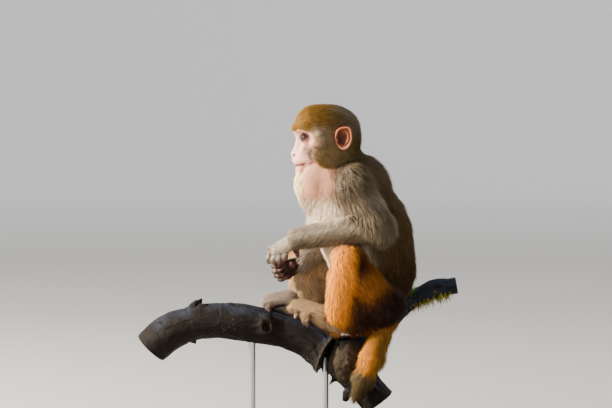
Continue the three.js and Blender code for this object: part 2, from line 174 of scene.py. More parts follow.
def ringQuads(rings, sides):
    # faces between rings of points, each ring closing on itself
    i, j = np.meshgrid(np.arange(rings - 1), np.arange(sides), indexing="ij")
    after = (j + 1) % sides
    corners = [i * sides + j, (i + 1) * sides + j, (i + 1) * sides + after, i * sides + after]
    return np.stack(corners, -1).reshape(-1, 4)


def putColours(thing, name, colours):
    layer = thing.data.attributes.new(name, "FLOAT_COLOR", "POINT")
    rgba = np.ones((len(colours), 4), np.float32)
    rgba[:, :3] = colours
    layer.data.foreach_set("color", rgba.ravel())


def putValues(thing, name, values, kind="FLOAT", field="value"):
    layer = thing.data.attributes.new(name, kind, "POINT")
    layer.data.foreach_set(field, np.asarray(values, np.float32).ravel())


def feed(tree, node, sockets):
    # a socket takes a link or a plain value
    for name, value in sockets.items():
        if isinstance(value, bpy.types.NodeSocket):
            tree.links.new(value, node.inputs[name])
        else:
            node.inputs[name].default_value = value


def addNode(tree, kind, sockets=None, **settings):
    made = tree.nodes.new("ShaderNode" + kind)
    for name, value in settings.items():
        setattr(made, name, value)
    feed(tree, made, sockets or {})
    return made


def newFinish(name):
    finish = bpy.data.materials.new(name)
    finish.use_nodes = True
    return finish, finish.node_tree, finish.node_tree.nodes["Principled BSDF"]


def newGroup(name, takes, gives):
    group = bpy.data.node_groups.new(name, "ShaderNodeTree")
    kinds = {"colour": "NodeSocketColor", "value": "NodeSocketFloat"}
    for socket, (kind, value) in takes.items():
        made = group.interface.new_socket(socket, in_out="INPUT", socket_type=kinds[kind])
        if value is not None:
            made.default_value = value
    for socket, kind in gives.items():
        group.interface.new_socket(socket, in_out="OUTPUT", socket_type=kinds[kind])
    return group, group.nodes.new("NodeGroupInput").outputs, group.nodes.new("NodeGroupOutput")


def maths(tree, operation, a, b=0.0, c=0.0):
    return addNode(tree, "Math", {0: a, 1: b, 2: c}, operation=operation).outputs[0]


def fromTo(tree, value, low, high):
    # 0..1 spread over low..high
    return addNode(tree, "MapRange", {"Value": value, "To Min": low, "To Max": high}).outputs[0]


def scaled(tree, colour, factor):
    return addNode(tree, "VectorMath", {0: colour, "Scale": factor}, operation="SCALE").outputs[0]


def blended(tree, share, a, b):
    a, b = ((*shade, 1) if isinstance(shade, tuple) else shade for shade in (a, b))
    return addNode(tree, "Mix", {0: share, 6: a, 7: b}, data_type="RGBA").outputs[2]


def noise(tree, place, scale, detail=2.0, roughness=0.5):
    sockets = {"Vector": place, "Scale": scale, "Detail": detail, "Roughness": roughness}
    return addNode(tree, "TexNoise", sockets).outputs[0]


def bumped(tree, height, strength, distance):
    return addNode(tree, "Bump", {"Height": height, "Strength": strength, "Distance": distance}).outputs[0]


def objectPlace(tree):
    return addNode(tree, "TexCoord").outputs["Object"]


def stretched(tree, x, y, z):
    return addNode(tree, "Mapping", {"Vector": objectPlace(tree), "Scale": (x, y, z)}).outputs[0]


def attribute(tree, name, output="Color"):
    return addNode(tree, "Attribute", attribute_name=name).outputs[output]


def bone(p, a, b, ra, rb):
    # a field gives the distance of many points to a surface, negative inside it
    a, b = vec(*a), vec(*b)
    axis = b - a
    share = np.clip((p - a) @ axis / max(float(axis @ axis), 1e-6), 0, 1)
    return np.linalg.norm(p - a - share[:, None] * axis, axis=1) - (ra + (rb - ra) * share)


def lump(p, centre, radii):
    q = (p - vec(*centre)) / vec(*radii)
    reach = np.linalg.norm(q, axis=1)
    return reach * (reach - 1) / np.maximum(np.linalg.norm(q / vec(*radii), axis=1), 1e-6)


def softMin(a, b, softness):
    h = np.maximum(softness - np.abs(a - b), 0) / softness
    return np.minimum(a, b) - h * h * softness / 4


def blend(softness, *fields):
    result = fields[0]
    for field in fields[1:]:
        result = softMin(result, field, softness)
    return result


def carve(field, hole, softness):
    return -softMin(-field, hole, softness)


def lattice(p, size, seed=0):
    # smooth noise from -1 to 1 whose lumps are about size across
    q = p / np.float32(size) + np.float32(seed * 17.31 + 900)
    cell = np.floor(q)
    f = (q - cell).astype(np.float32)
    f = f * f * (3 - 2 * f)
    cell = cell.astype(np.int64)
    total = 0
    for corner in range(8):
        dx, dy, dz = corner & 1, corner >> 1 & 1, corner >> 2
        h = (cell[:, 0] + dx) * 73856093 ^ (cell[:, 1] + dy) * 19349663 ^ (cell[:, 2] + dz) * 83492791
        h = (h ^ h >> 13) * 1274126177 & 0xFFFFFFFF
        share = (f[:, 0] if dx else 1 - f[:, 0]) * (f[:, 1] if dy else 1 - f[:, 1])
        total = total + share * (f[:, 2] if dz else 1 - f[:, 2]) * (h >> 16)
    return (total / 32767.5 - 1).astype(np.float32)


def bell(value, middle, width):
    # 1 in the middle, falling to 0 on both sides
    return np.exp(-(((value - middle) / width) ** 2))


def inChunks(field, p, size=150000):
    return np.concatenate([field(p[k : k + size]) for k in range(0, len(p), size)])


def surfaceOf(field, xs, ys, zs, block=5):
    # the zero surface of a field, on grid lines that may be unevenly spaced, as points and quads;
    # blocks of the grid far from the surface only take the value in their middle
    lines = (xs, ys, zs)
    starts = [np.arange(0, len(c), block) for c in lines]
    ends = [np.minimum(first + block, len(c)) - 1 for first, c in zip(starts, lines)]
    middles = [(c[a] + c[b]) / 2 for c, a, b in zip(lines, starts, ends)]
    halves = [(c[b] - c[a]) / 2 for c, a, b in zip(lines, starts, ends)]
    shape = [len(m) for m in middles]
    centres = np.stack(np.meshgrid(*middles, indexing="ij"), -1).reshape(-1, 3).astype(np.float32)
    reach = np.sqrt(sum(h**2 for h in np.meshgrid(*halves, indexing="ij")))
    rough = inChunks(field, centres).reshape(shape)
    near = np.abs(rough) < 1.9 * reach + 1.5  # with room for fields that rise faster than distance
    values = rough
    for axis, c in enumerate(lines):
        values = np.repeat(values, block, axis).take(np.arange(len(c)), axis)
    values = np.ascontiguousarray(values, np.float32)
    i, j, k = (index[:, None] * block for index in np.nonzero(near))
    di, dj, dk = (d.ravel()[None] for d in np.meshgrid(*[np.arange(block)] * 3, indexing="ij"))
    i, j, k = (i + di).ravel(), (j + dj).ravel(), (k + dk).ravel()
    inside = (i < len(xs)) & (j < len(ys)) & (k < len(zs))
    i, j, k = i[inside], j[inside], k[inside]
    values[i, j, k] = inChunks(field, np.stack([xs[i], ys[j], zs[k]], 1))
    grid = openvdb.FloatGrid(50.0)  # what lies outside the grid counts as far off
    grid.copyFromArray(values)
    grid.gridClass = openvdb.GridClass.LEVEL_SET
    points, quads = grid.convertToQuads(isovalue=0.0)
    places = [np.interp(points[:, k], np.arange(len(c)), c) for k, c in enumerate(lines)]
    return np.stack(places, 1).astype(np.float32), quads[:, ::-1].astype(np.int32)


def spaced(low, high, step):
    return np.arange(low, high + step, step, dtype=np.float32)


def smoothed(points, quads, rounds, share=0.5):
    # every point moves towards the mean of those it shares an edge with
    ends = np.concatenate([quads[:, [k, (k + 1) % 4]] for k in range(4)])
    count = np.bincount(ends.ravel(), minlength=len(points)).clip(1)
    for _ in range(rounds):
        total = [
            np.bincount(ends[:, 0], points[ends[:, 1], k], len(points))
            + np.bincount(ends[:, 1], points[ends[:, 0], k], len(points))
            for k in range(points.shape[1])
        ]
        points = points + share * (np.stack(total, 1) / count[:, None] - points)
    return points.astype(np.float32)


def kept(points, quads, keep):
    # only the faces whose corners are all kept
    quads = quads[keep[quads].all(1)]
    used = np.zeros(len(points), bool)
    used[quads] = True
    return points[used], (np.cumsum(used) - 1)[quads].astype(np.int32)


def fineSurface(field, xs, ys, zs):
    points, quads = surfaceOf(field, xs, ys, zs)
    return smoothed(points, quads, 1, 0.4), quads


def normalsOf(points, quads):
    a, b, c, d = (points[quads[:, k]] for k in range(4))
    facing = np.cross(c - a, d - b)
    total = np.zeros_like(points)
    for k in range(4):
        for axis in range(3):
            total[:, axis] += np.bincount(quads[:, k], facing[:, axis], len(points))
    return unit(total)


# millimetres in the frame's axes
skeleton = {
    "rump": (0, 55, 189),
    "loin": (0, 58, 240),
    "back": (2, 45, 287),
    "chest": (8, 26, 330),
    "withers": (14, 25, 357),
    "throat": (24, -27, 366),
    "nape": (17, 14, 398),
    "shoulderLeft": (50, 26, 362),
    "elbowLeft": (74, 66, 301),
    "wristLeft": (45, -52, 287),
    "knuckleLeft": (37, -79, 273),
    "shoulderRight": (-28, 6, 360),
    "elbowRight": (-54, 22, 290),
    "wristRight": (-6, -44, 252),
    "knuckleRight": (4, -70, 241),
    "hipLeft": (32, 66, 197),
    "kneeLeft": (60, 17, 262),
    "ankleLeft": (27, 1, 171),
    "toeLeft": (20, -49, 187),
    "hipRight": (-34, 56, 195),
    "kneeRight": (-33, -48, 256),
    "ankleRight": (-14, -45, 200),
    "toeRight": (-7, -90, 192),
    "tailRoot": (6, 71, 168),
    "tailBend": (38, 53, 118),
    "tailTip": (36, 31, 66),
}
at = {name: vec(*place) for name, place in skeleton.items()}
bodyYaw = math.radians(20)
leftwards = vec(math.cos(bodyYaw), math.sin(bodyYaw), 0)
forwards = vec(math.sin(bodyYaw), -math.cos(bodyYaw), 0)


def between(a, b, share):
    return a + (b - a) * share


at["tailHalf"] = between(at["tailBend"], at["tailTip"], 0.55)
for side in ("Left", "Right"):
    at["thigh" + side] = between(at["hip" + side], at["knee" + side], 0.5)
    at["ham" + side] = between(at["knee" + side], at["ankle" + side], 0.75) + vec(0, 20, 0)
    at["heel" + side] = at["ankle" + side] + vec(0, 18, -1)

# the skin of the body lies inside the outline of the coat
flesh = {
    "trunkNarrow": 0.8,
    "rump": 31,
    "loin": 48,
    "back": 56,
    "chest": 54,
    "withers": 37,
    "throat": 22,
    "upperArm": (21, 14),
    "forearm": (19, 12),
    "thigh": (27, 15),
    "ham": (24, 12),
    "calf": (19, 12),
    "tail": (14, 12, 13, 10, 5),
    # sides of the grid's cells
    "headStep": 0.62,
    "bodyStep": 2.0,
    "pawStep": 0.7,
}


def limbBones(p, side):
    s = {name: at[name + side] for name in ("shoulder", "elbow", "wrist", "hip", "knee", "ankle")}
    elbow = between(s["elbow"], s["wrist"], 0.08) + vec(-4, -2, 9)
    arm = blend(
        8,
        bone(p, s["shoulder"], s["elbow"], *flesh["upperArm"]),
        bone(p, elbow, s["wrist"] + vec(0, 0, 2), *flesh["forearm"]),
        bone(p, at["withers"], s["shoulder"], 30, 18),
    )
    leg = blend(
        8,
        bone(p, s["hip"], s["knee"], *flesh["thigh"]),
        bone(p, s["hip"], at["ham" + side], *flesh["ham"]),
        bone(p, s["knee"], s["ankle"], *flesh["calf"]),
        bone(p, between(s["knee"], s["ankle"], 0.3), s["ankle"], 18, 11),
        bone(p, between(s["knee"], s["ankle"], 0.5), at["heel" + side], 12, 12),
    )
    return arm, leg


def bodyField(p):
    side = (p - at["loin"]) @ leftwards
    q = p + (side / flesh["trunkNarrow"] - side)[:, None] * leftwards
    names = ("rump", "loin", "back", "chest", "withers", "throat")
    spine = [bone(q, at[a], at[b], flesh[a], flesh[b]) for a, b in zip(names, names[1:])]
    neck = blend(
        16,
        bone(p, at["nape"], at["withers"], 21, 30),
        bone(p, at["throat"], at["withers"], 23, 34),
        bone(p, at["nape"] + vec(6, -16, -16), at["throat"] + vec(0, -1, -6), 16, 22),
        bone(p, at["throat"] + vec(2, 26, 0), at["shoulderLeft"] + vec(-8, -12, -12), 20, 15),
        bone(p, at["nape"] + vec(8, 14, -25), at["shoulderLeft"] + vec(-4, -2, 14), 20, 15),
        bone(p, at["nape"] + vec(-8, 14, -25), at["shoulderRight"] + vec(4, 4, 12), 20, 15),
    )
    hips = (at["hipLeft"], at["hipRight"])
    haunches = [bone(p, hip, between(hip, at["rump"], 0.6), 16, 26) for hip in hips]
    names = ("rump", "tailRoot", "tailBend", "tailHalf", "tailTip")
    rows = zip(names, names[1:], flesh["tail"], flesh["tail"][1:])
    tail = blend(8, *[bone(p, at[a], at[b], low, high) for a, b, low, high in rows])
    haunches += [bone(p, (x, 56, 177), (x * 1.1, 27, 169), 16, 13) for x in (20, -20)]
    body = blend(18, blend(26, *spine) * flesh["trunkNarrow"], neck, *haunches)
    arms, legs = zip(limbBones(p, "Left"), limbBones(p, "Right"))
    return blend(9, body, *arms, *legs, tail)


# the head's own millimetres run left, back and up from the middle of the skull
eye = {
    "radius": 8.4,
    "at": (15, -33.5, -7),
    "gaze": {"left": (0.57, -0.82, 0.02), "right": (0.50, -0.87, 0.02)},
    "iris": 36,  # degrees round the middle of the gaze
    "pupil": 15,
    "corneaRise": 0.7,
}


def middleOf(node):
    low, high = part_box(node)
    return vec(*(Vector(low) + Vector(high))) / 2 / mm


eyeMiddle = {side: middleOf("eye_" + side) for side in ("left", "right")}
headYaw = math.radians(12)
headAxes = np.array(
    [
        (math.cos(headYaw), math.sin(headYaw), 0),
        (-math.sin(headYaw), math.cos(headYaw), 0),
        (0, 0, 1),
    ],
    np.float32,
)
headCentre = (eyeMiddle["left"] + eyeMiddle["right"]) / 2 - vec(0, *eye["at"][1:]) @ headAxes


def toHead(p):
    return (p - headCentre) @ headAxes.T


def fromHead(q):
    return q @ headAxes + headCentre


def folded(q):
    # both halves of the head are worked out as its left one
    return np.stack([np.abs(q[:, 0]), q[:, 1], q[:, 2]], 1)


face = {
    "lidThickness": 1.3,
    "nostril": ((6.2, -49.3, -31.0), (4.0, -51.1, -33.8)),
    "cheekHollow": ((21.5, -37, -28), (6, 9, 12)),
    "chinFold": ((14.5, -36, -49), (10, -41.5, -61)),
    "openAxis": 24,  # the lids open round this many degrees outwards
    "openWide": 45,
    "openUp": 28,
    "openDown": 25,
}


def eyeOpening(q):
    # below zero in the almond between the lids
    way = q - vec(*eye["at"])
    turn = np.degrees(np.arctan2(way[:, 0], -way[:, 1])) - face["openAxis"]
    rise = np.degrees(np.arcsin(way[:, 2] / np.maximum(np.linalg.norm(way, axis=1), 1e-6)))
    rise = rise - 0.08 * turn  # the outer corner is a little higher
    high = np.where(rise > 0, face["openUp"], face["openDown"])
    almond = np.hypot(turn / face["openWide"], rise / high) - 1
    return np.where(np.abs(turn) > 100, 2, almond) * 3.4


def lipHeight(y):
    # how high the mouth runs, from its front to its corner
    return np.interp(y, [-51, -47, -44, -40.3, -33.6, -29.7], [-46.9, -46.5, -45.8, -45.2, -40.8, -37.2])


def headField(p):
    q = folded(p)
    skull = blend(
        8,
        lump(q, (0, 1, 3), (31.5, 42, 35)),
        lump(q, (0, 21, -12), (26, 22, 23)),
        lump(q, (21, -6, -22), (11, 20, 20)),
        lump(q, (0, -16, -20), (24, 22, 24)),
        lump(q, (0, -18, 10), (26, 29.5, 26.5)),
    )
    brow = bone(q, (0, -44, 3.5), (17, -38, 4), 6.8, 7)
    temple = bone(q, (17, -35, 3), (27, -24, -4), 6.6, 7)
    cheekBone = bone(q, (27, -22, -13), (15, -36, -21), 6.5, 6)
    cheek = lump(q, (17.5, -19, -28), (10.5, 14, 14))
    bridge = bone(q, (0, -41.5, -3), (0, -41.2, -14), 4.8, 4.6)
    bridge = blend(5, bridge, bone(q, (0, -41.2, -14), (0, -46.4, -28), 4.6, 5.4))
    upperJaw = bone(q, (0, -20, -24), (0, -35.5, -36), 19, 14)
    upperLip = lump(q, (0, -37, -39.5), (14.5, 13.6, 8))
    lowerLip = lump(q, (0, -35.2, -49.5), (11, 10.8, 6))
    chin = lump(q, (0, -33.5, -54.5), (8, 10.6, 7.5))
    jaw = bone(q, (18, -4, -34), (7, -27, -50), 12, 8)
    noseTip = lump(q, (0, -47.5, -30.6), (5.2, 4.9, 4.4))
    wing = lump(q, (4.2, -46.8, -32), (3.3, 4.5, 3.4))
    toEye = np.linalg.norm(q - vec(*eye["at"]), axis=1)
    muzzle = blend(5, upperJaw, upperLip, bone(q, (9, -40, -30), (12, -30, -38), 6, 8))
    muzzle = blend(2.6, muzzle, blend(5, lowerLip, chin, jaw))
    septum = bone(q, (0, -48.6, -33), (0, -48.0, -37), 1.9, 2.1)
    nose = blend(2.2, blend(4, bridge, noseTip), wing, septum)
    whole = blend(6, skull, brow, temple)
    whole = blend(5, whole, cheekBone, cheek)
    whole = carve(whole, lump(q, *face["cheekHollow"]), 8)
    whole = blend(6, whole, muzzle)
    whole = blend(5, whole, nose)
    whole = carve(whole, lump(q, (15, -46.5, -7), (10.5, 7.5, 8.5)), 7)
    whole = blend(3, whole, toEye - eye["radius"] - face["lidThickness"])
    opening = eyeOpening(q)
    whole = carve(whole, np.maximum(opening, toEye - eye["radius"] - 5), 0.7)
    whole = np.maximum(whole, eye["radius"] + 0.05 - toEye)
    # the fold of the upper lid, the bags below, nostrils and mouth
    height = q[:, 2] - eye["at"][2]
    upperFold = np.hypot((opening - 1.5) * 0.9, toEye - eye["radius"] - 1.6) - 0.5
    whole = carve(whole, np.maximum(upperFold, 1.0 - height), 1.0)
    lowerFold = np.hypot((opening - 2.2) * 0.9, toEye - eye["radius"] - 2.0) - 0.35
    whole = carve(whole, np.maximum(lowerFold, 1.0 + height), 1.2)
    whole = carve(whole, bone(q, *face["nostril"], 1.3, 1.1), 0.8)
    depth = 0.1 + 2.0 * ramp(-q[:, 1], 35, 43)
    groove = np.maximum(np.abs(q[:, 2] - lipHeight(q[:, 1])) - 0.45, -whole - depth)
    whole = carve(whole, np.maximum(groove, (q[:, 1] + 29) * 0.6), 1.3)
    neck = bone(p, (1, 22, -42), (3, 14, -62), 20, 24)
    throat = bone(p, (0, -14, -46), (1, -15, -66), 14, 20)
    whole = blend(11, whole, neck, throat)
    # fine lines fan out over the cheek and run round the mouth
    lines = np.sin(q[:, 2] * 1.7 + 0.35 * q[:, 1] + 1.2 * np.sin(q[:, 1] * 0.45))
    return whole + 0.13 * lines * ramp(-q[:, 1], 25, 33) * ramp(q[:, 0], 5, 12) * ramp(-q[:, 2], 14, 22)


def neckCut(q):
    # above zero on the side of the head
    return q[:, 2] + 60 - 0.35 * (q[:, 1] + 45)


def withHead(body, q):
    # the soft fold beside the chin runs through head and throat
    whole = softMin(body, headField(q), 10)
    return carve(whole, bone(folded(q), *face["chinFold"], 0.2, 0.8), 8)


def headAndBody(p):
    field = bodyField(p)
    near = p[:, 2] > 345
    if near.any():
        field[near] = withHead(field[near], toHead(p[near]))
    return field


def headSurface():
    fine = flesh["headStep"] * coarser
    xs = spaced(-38, 38, fine)
    ys = np.concatenate([spaced(-56, -22, fine), spaced(-21, 50, fine * 2)])
    zs = np.concatenate([spaced(-68, -57, fine * 1.6), spaced(-56, 10, fine), spaced(11, 44, fine * 2)])
    points, quads = fineSurface(lambda q: withHead(bodyField(fromHead(q)), q), xs, ys, zs)
    points, quads = kept(points, quads, neckCut(points) > -1.5)
    return fromHead(points), quads


def bodySurface():
    step = flesh["bodyStep"] * coarser
    xs, ys, zs = spaced(-84, 104, step), spaced(-80, 130, step), spaced(46, 424, step)
    points, quads = fineSurface(headAndBody, xs, ys, zs)
    return kept(points, quads, neckCut(toHead(points)) < 1.5)


# an ear is a thin dish, in its own millimetres back, up and outwards
ear = {"at": (38, 14, -7), "turn": 0.3, "wide": 12.2, "high": 16.6, "thin": 0.8, "step": 0.5}


def earShare(p):
    # 0 in the middle of the dish, 1 at its edge
    u, w = p[:, 0], p[:, 1]
    angle = np.degrees(np.arctan2(w / ear["high"], u / ear["wide"]))
    point = 1 + 0.14 * bell(angle, 48, 20) - 0.06 * bell(angle, 95, 25)
    lobe = 1 - 0.16 * np.clip(-w / ear["high"], 0, 1) ** 1.5
    return np.hypot(u / (ear["wide"] * lobe), w / ear["high"]) / point


def earField(p):
    u, w, n = p.T
    s = earShare(p)
    fold = bell(s, 0.54, 0.11) * np.clip((u + 3) / 6, 0, 1)
    middle = 3.6 * s**2 - 2.6 + bell(s, 0.86, 0.1) + 1.6 * fold
    middle = middle - 3.4 * np.exp(-((u + 4) ** 2 + (w + 2.5) ** 2 / 2.4) / 15)
    rim = 0.7 * bell(s, 0.93, 0.09)
    dish = np.abs(n - middle) * 0.85 - ear["thin"] - rim
    dish = -softMin(-dish, (1 - s) * 12, 1.4)
    tragus = lump(p, (-8.4, -4.5, 1.0), (2.2, 4.6, 2.6))
    notch = lump(p, (-8.6, 6, 0.6), (2.0, 5.5, 2.0))
    root = lump(p, (-4, -1, -5.4), (8.5, 11, 4.6))
    return blend(1.6, dish, tragus, notch, root)


def earFrame(side):
    turn = side * -ear["turn"]
    outward = (side * math.cos(turn), side * math.sin(turn), 0)
    backward = (-math.sin(turn), math.cos(turn), 0)
    return np.array([backward, (0, 0, 1), outward], np.float32)


def earSurface(side):
    step = ear["step"] * coarser
    points, quads = fineSurface(earField, spaced(-16, 18, step), spaced(-20, 22, step), spaced(-11, 7, step))
    if side < 0:
        quads = quads[:, ::-1]
    return fromHead(points @ earFrame(side) + vec(side * ear["at"][0], *ear["at"][1:])), quads


# hands and feet are short bones from a palm or sole
hands = {
    "Left": {
        "spread": (0.3, 0.9, 0.1),
        "first": (0.05, -0.25, -1),
        "second": (-0.9, 0.2, -0.35),
        "thumb": (-0.25, 0.3, -1),
        "back": (0.9, -0.35, 0.3),
    },
    "Right": {
        "spread": (-0.45, 0.3, -0.85),
        "first": (0.35, -0.85, -0.3),
        "second": (0.6, 0.7, 0.15),
        "thumb": (0.75, -0.45, 0.35),
        "back": (-0.4, -0.6, 0.6),
    },
}
fingerLengths = (14, 16, 15, 12)
bareBones = (21, 22)  # both bones of a thumb carry no hair
nails = []  # tip, way of the last bone, outward side, size


def handBones(side):
    h = {name: unit(way) for name, way in hands[side].items()}
    wrist, knuckle = at["wrist" + side], at["knuckle" + side]
    bones = []
    for i, length in enumerate(fingerLengths):
        root = knuckle + h["spread"] * (i - 1.5) * 8
        half = root + h["first"] * length * 0.5
        bend = root + h["first"] * length
        middle = bend + unit(h["first"] * 0.45 + h["second"]) * length * 0.42
        tip = middle + unit(h["second"] - h["first"] * 0.25) * length * 0.34
        start = between(wrist, knuckle, 0.25) + h["spread"] * (i - 1.5) * 4
        bones += [(start, root, 5, 4.4), (root, half, 4.5, 3.5), (half, bend, 3.5, 3.9)]
        bones += [(bend, middle, 3.7, 3.2), (middle, tip, 3.1, 2.5)]
        nails.append((tip, unit(tip - middle), unit(h["back"]), 2.3))
    thumbRoot = between(wrist, knuckle, 0.45) + h["spread"] * 6
    thumbBend = thumbRoot + h["thumb"] * 12
    thumbTip = thumbBend + unit(h["thumb"] + h["second"] * 0.25) * 8
    bones += [(between(wrist, knuckle, 0.2), thumbRoot, 6, 5), (thumbRoot, thumbBend, 4.6, 3.9)]
    bones += [(thumbBend, thumbTip, 3.9, 3.0), (wrist, knuckle, 9.5, 7)]
    bones.append((wrist - (knuckle - wrist) * 0.35, wrist, 9, 9.5))
    nails.append((thumbTip, unit(thumbTip - thumbBend), h["back"], 2.4))
    return bones


feet = {
    "Left": {
        "spread": (-0.9, 0.1, 0.35),
        "curl": (0.7, 0.1, -1.1),
        "thumb": (0.8, -0.3, -0.7),
        "sole": ((25, -44, 178), (26, -4, 164), 10, 13),
    },
    "Right": {
        "spread": (0.95, 0.05, -0.1),
        "curl": (0.25, 0, -1.1),
        "thumb": (-0.8, -0.3, -0.5),
        "sole": ((-6, -86, 186), (-12, -50, 181), 7, 12),
    },
}
toeLengths = (13, 12, 13, 13, 11)


def footBones(side):
    f = {name: unit(feet[side][name]) for name in ("spread", "curl", "thumb")}
    ankle, toe = at["ankle" + side], at["toe" + side]
    forward = unit(toe - ankle)
    up = vec(0, 0, 1)
    bones = [(ankle, toe, 10.5, 8.5), (between(ankle, toe, 0.3), between(ankle, toe, 0.85), 12, 10.5)]
    bones.append([*(vec(*end) for end in feet[side]["sole"][:2]), *feet[side]["sole"][2:]])
    for i, length in enumerate(toeLengths):
        root = toe + f["spread"] * (i - 2) * 5.4
        way = unit(forward * 0.55 + f["curl"])
        if i == 0:
            way = f["thumb"]
            root = between(ankle, toe, 0.72) - f["spread"] * 8
        bend = root + unit(way + up * 0.5) * length * 0.45
        tip = root + way * length
        start = between(ankle, toe, 0.45) + f["spread"] * (i - 2) * 3
        bones += [(start, root, 6, 4.4), (root, bend, 4.3, 4.0), (bend, tip, 3.9, 3.1)]
        nails.append((tip, unit(tip - bend), up, 2.3))
    return bones


def pawSurface(bones):
    ends = np.array([end for b in bones for end in b[:2]])
    low, high = ends.min(0) - 12, ends.max(0) + 12

    def field(p):
        whole = bone(p, *bones[0])
        for b in bones[1:]:
            whole = softMin(whole, bone(p, *b), 2.4)
        return whole + 0.12 * lattice(p, 2.5)

    return fineSurface(field, *[spaced(low[k], high[k], flesh["pawStep"] * coarser) for k in range(3)])


# one set of colours and one lie of the hair, worked out for skin and coat together
palette = {
    "greyBrown": (0.100, 0.073, 0.043),
    "ash": (0.27, 0.215, 0.16),
    "cream": (0.76, 0.59, 0.41),
    "beige": (0.235, 0.130, 0.036),
    "orange": (0.82, 0.265, 0.020),
    # rust-brown hair made darker still as painted shade, on the rump, haunches and backs of the legs
    "rustAndShade": (0.008, 0.001, 0.0002),
    "gold": (0.125, 0.064, 0.0090),
    "olive": (0.040, 0.0245, 0.0048),
    "throat": (0.62, 0.28, 0.17),
    "sunlitPale": (0.98, 0.76, 0.40),
    "face": (0.82, 0.49, 0.37),
    "roseAndShade": (0.48, 0.17, 0.12),
    "umberShade": (0.026, 0.008, 0.005),
    "cheekShade": (0.030, 0.006, 0.0015),
    "lidAndShade": (0.040, 0.013, 0.009),
    "lip": (0.34, 0.12, 0.11),
    "nostril": (0.34, 0.016, 0.010),
    "earBowl": (0.105, 0.024, 0.007),
    "earRim": (0.43, 0.135, 0.052),
    "palm": (0.014, 0.004, 0.0025),
    "fingerPink": (0.17, 0.075, 0.06),
}
colour = {name: vec(*value) for name, value in palette.items()}

# from, to, radii, the way hair lies, its length, its colour, its piece of the coat
regions = {
    "nape": ("nape", "withers", 22, 32, (0, 0.6, -0.8), 15, "olive", "neck"),
    "throat": ("throat", "chest", 24, 30, (0.1, -0.25, -1), 7, "throat", "neck"),
    "breast": ("chest", "back", 50, 54, (0.05, 0.05, -1), 17, "greyBrown", "trunk"),
    "flank": ("back", "loin", 54, 48, (0, 0.2, -1), 17, "olive", "trunk"),
    "rump": ("loin", "rump", 48, 33, (0, 0.3, -1), 16, "rustAndShade", "trunk"),
    "mantleLeft": ("withers", "shoulderLeft", 32, 20, (0.1, 0.62, -0.75), 21, "greyBrown", "neck"),
    "mantleRight": ("withers", "shoulderRight", 32, 20, (-0.1, 0.5, -0.8), 21, "greyBrown", "neck"),
    "upperArmLeft": ("shoulderLeft", "elbowLeft", 21, 15, (0.1, 0.42, -0.9), 22, "greyBrown", "armLeft"),
    "upperArmRight": ("shoulderRight", "elbowRight", 21, 15, (-0.1, 0.3, -0.9), 22, "greyBrown", "armRight"),
    "forearmLeft": ("elbowLeft", "wristLeft", 14, 9, (-0.1, -0.7, -0.65), 12, "greyBrown", "armLeft"),
    "forearmRight": ("elbowRight", "wristRight", 14, 9, (0.3, -0.6, -0.7), 12, "greyBrown", "armRight"),
    "thighLeft": ("hipLeft", "thighLeft", 27, 22, (0, 0.45, -0.85), 15, "rustAndShade", "legLeft"),
    "thighRight": ("hipRight", "thighRight", 27, 22, (0, 0.3, -0.9), 15, "rustAndShade", "legRight"),
    "kneeLeft": ("thighLeft", "kneeLeft", 22, 16, (0, 0.25, -1), 12, "orange", "legLeft"),
    "kneeRight": ("thighRight", "kneeRight", 22, 16, (0, 0.1, -1), 12, "orange", "legRight"),
    "hamLeft": ("hipLeft", "hamLeft", 24, 13, (0, 0.2, -1), 18, "rustAndShade", "legLeft"),
    "hamRight": ("hipRight", "hamRight", 24, 13, (0, 0.3, -1), 14, "rustAndShade", "legRight"),
    "calfLeft": ("kneeLeft", "ankleLeft", 17, 11, (0, 0.1, -1), 15, "orange", "legLeft"),
    "calfRight": ("kneeRight", "ankleRight", 17, 11, (0, 0.05, -1), 12, "orange", "legRight"),
    "heelLeft": ("ankleLeft", "heelLeft", 11, 11, (0, 0.1, -1), 16, "rustAndShade", "legLeft"),
    "heelRight": ("ankleRight", "heelRight", 11, 11, (0, 0, -1), 9, "beige", "legRight"),
    "tailTop": ("tailRoot", "tailBend", 12, 13, (0.4, -0.2, -0.7), 12, "orange", "tail"),
    "tailEnd": ("tailHalf", "tailTip", 9, 3, (-0.05, -0.4, -0.9), 13, "greyBrown", "tail"),
}


def regionShares(p):
    # how much of each region a point belongs to
    far = np.stack([bone(p, at[r[0]], at[r[1]], r[2], r[3]) for r in regions.values()], 1)
    near = np.exp(-(far - far.min(1, keepdims=True)) / 3.5)
    return near / near.sum(1, keepdims=True)


def throatPatch(q):
    # 1 on the pink throat, where the hair is short and thin, in the head's frame
    reach = np.hypot((q[:, 1] + 26) / 25, (q[:, 2] + 66) / 27)
    return ramp(1.08 - reach, 0, 0.28)


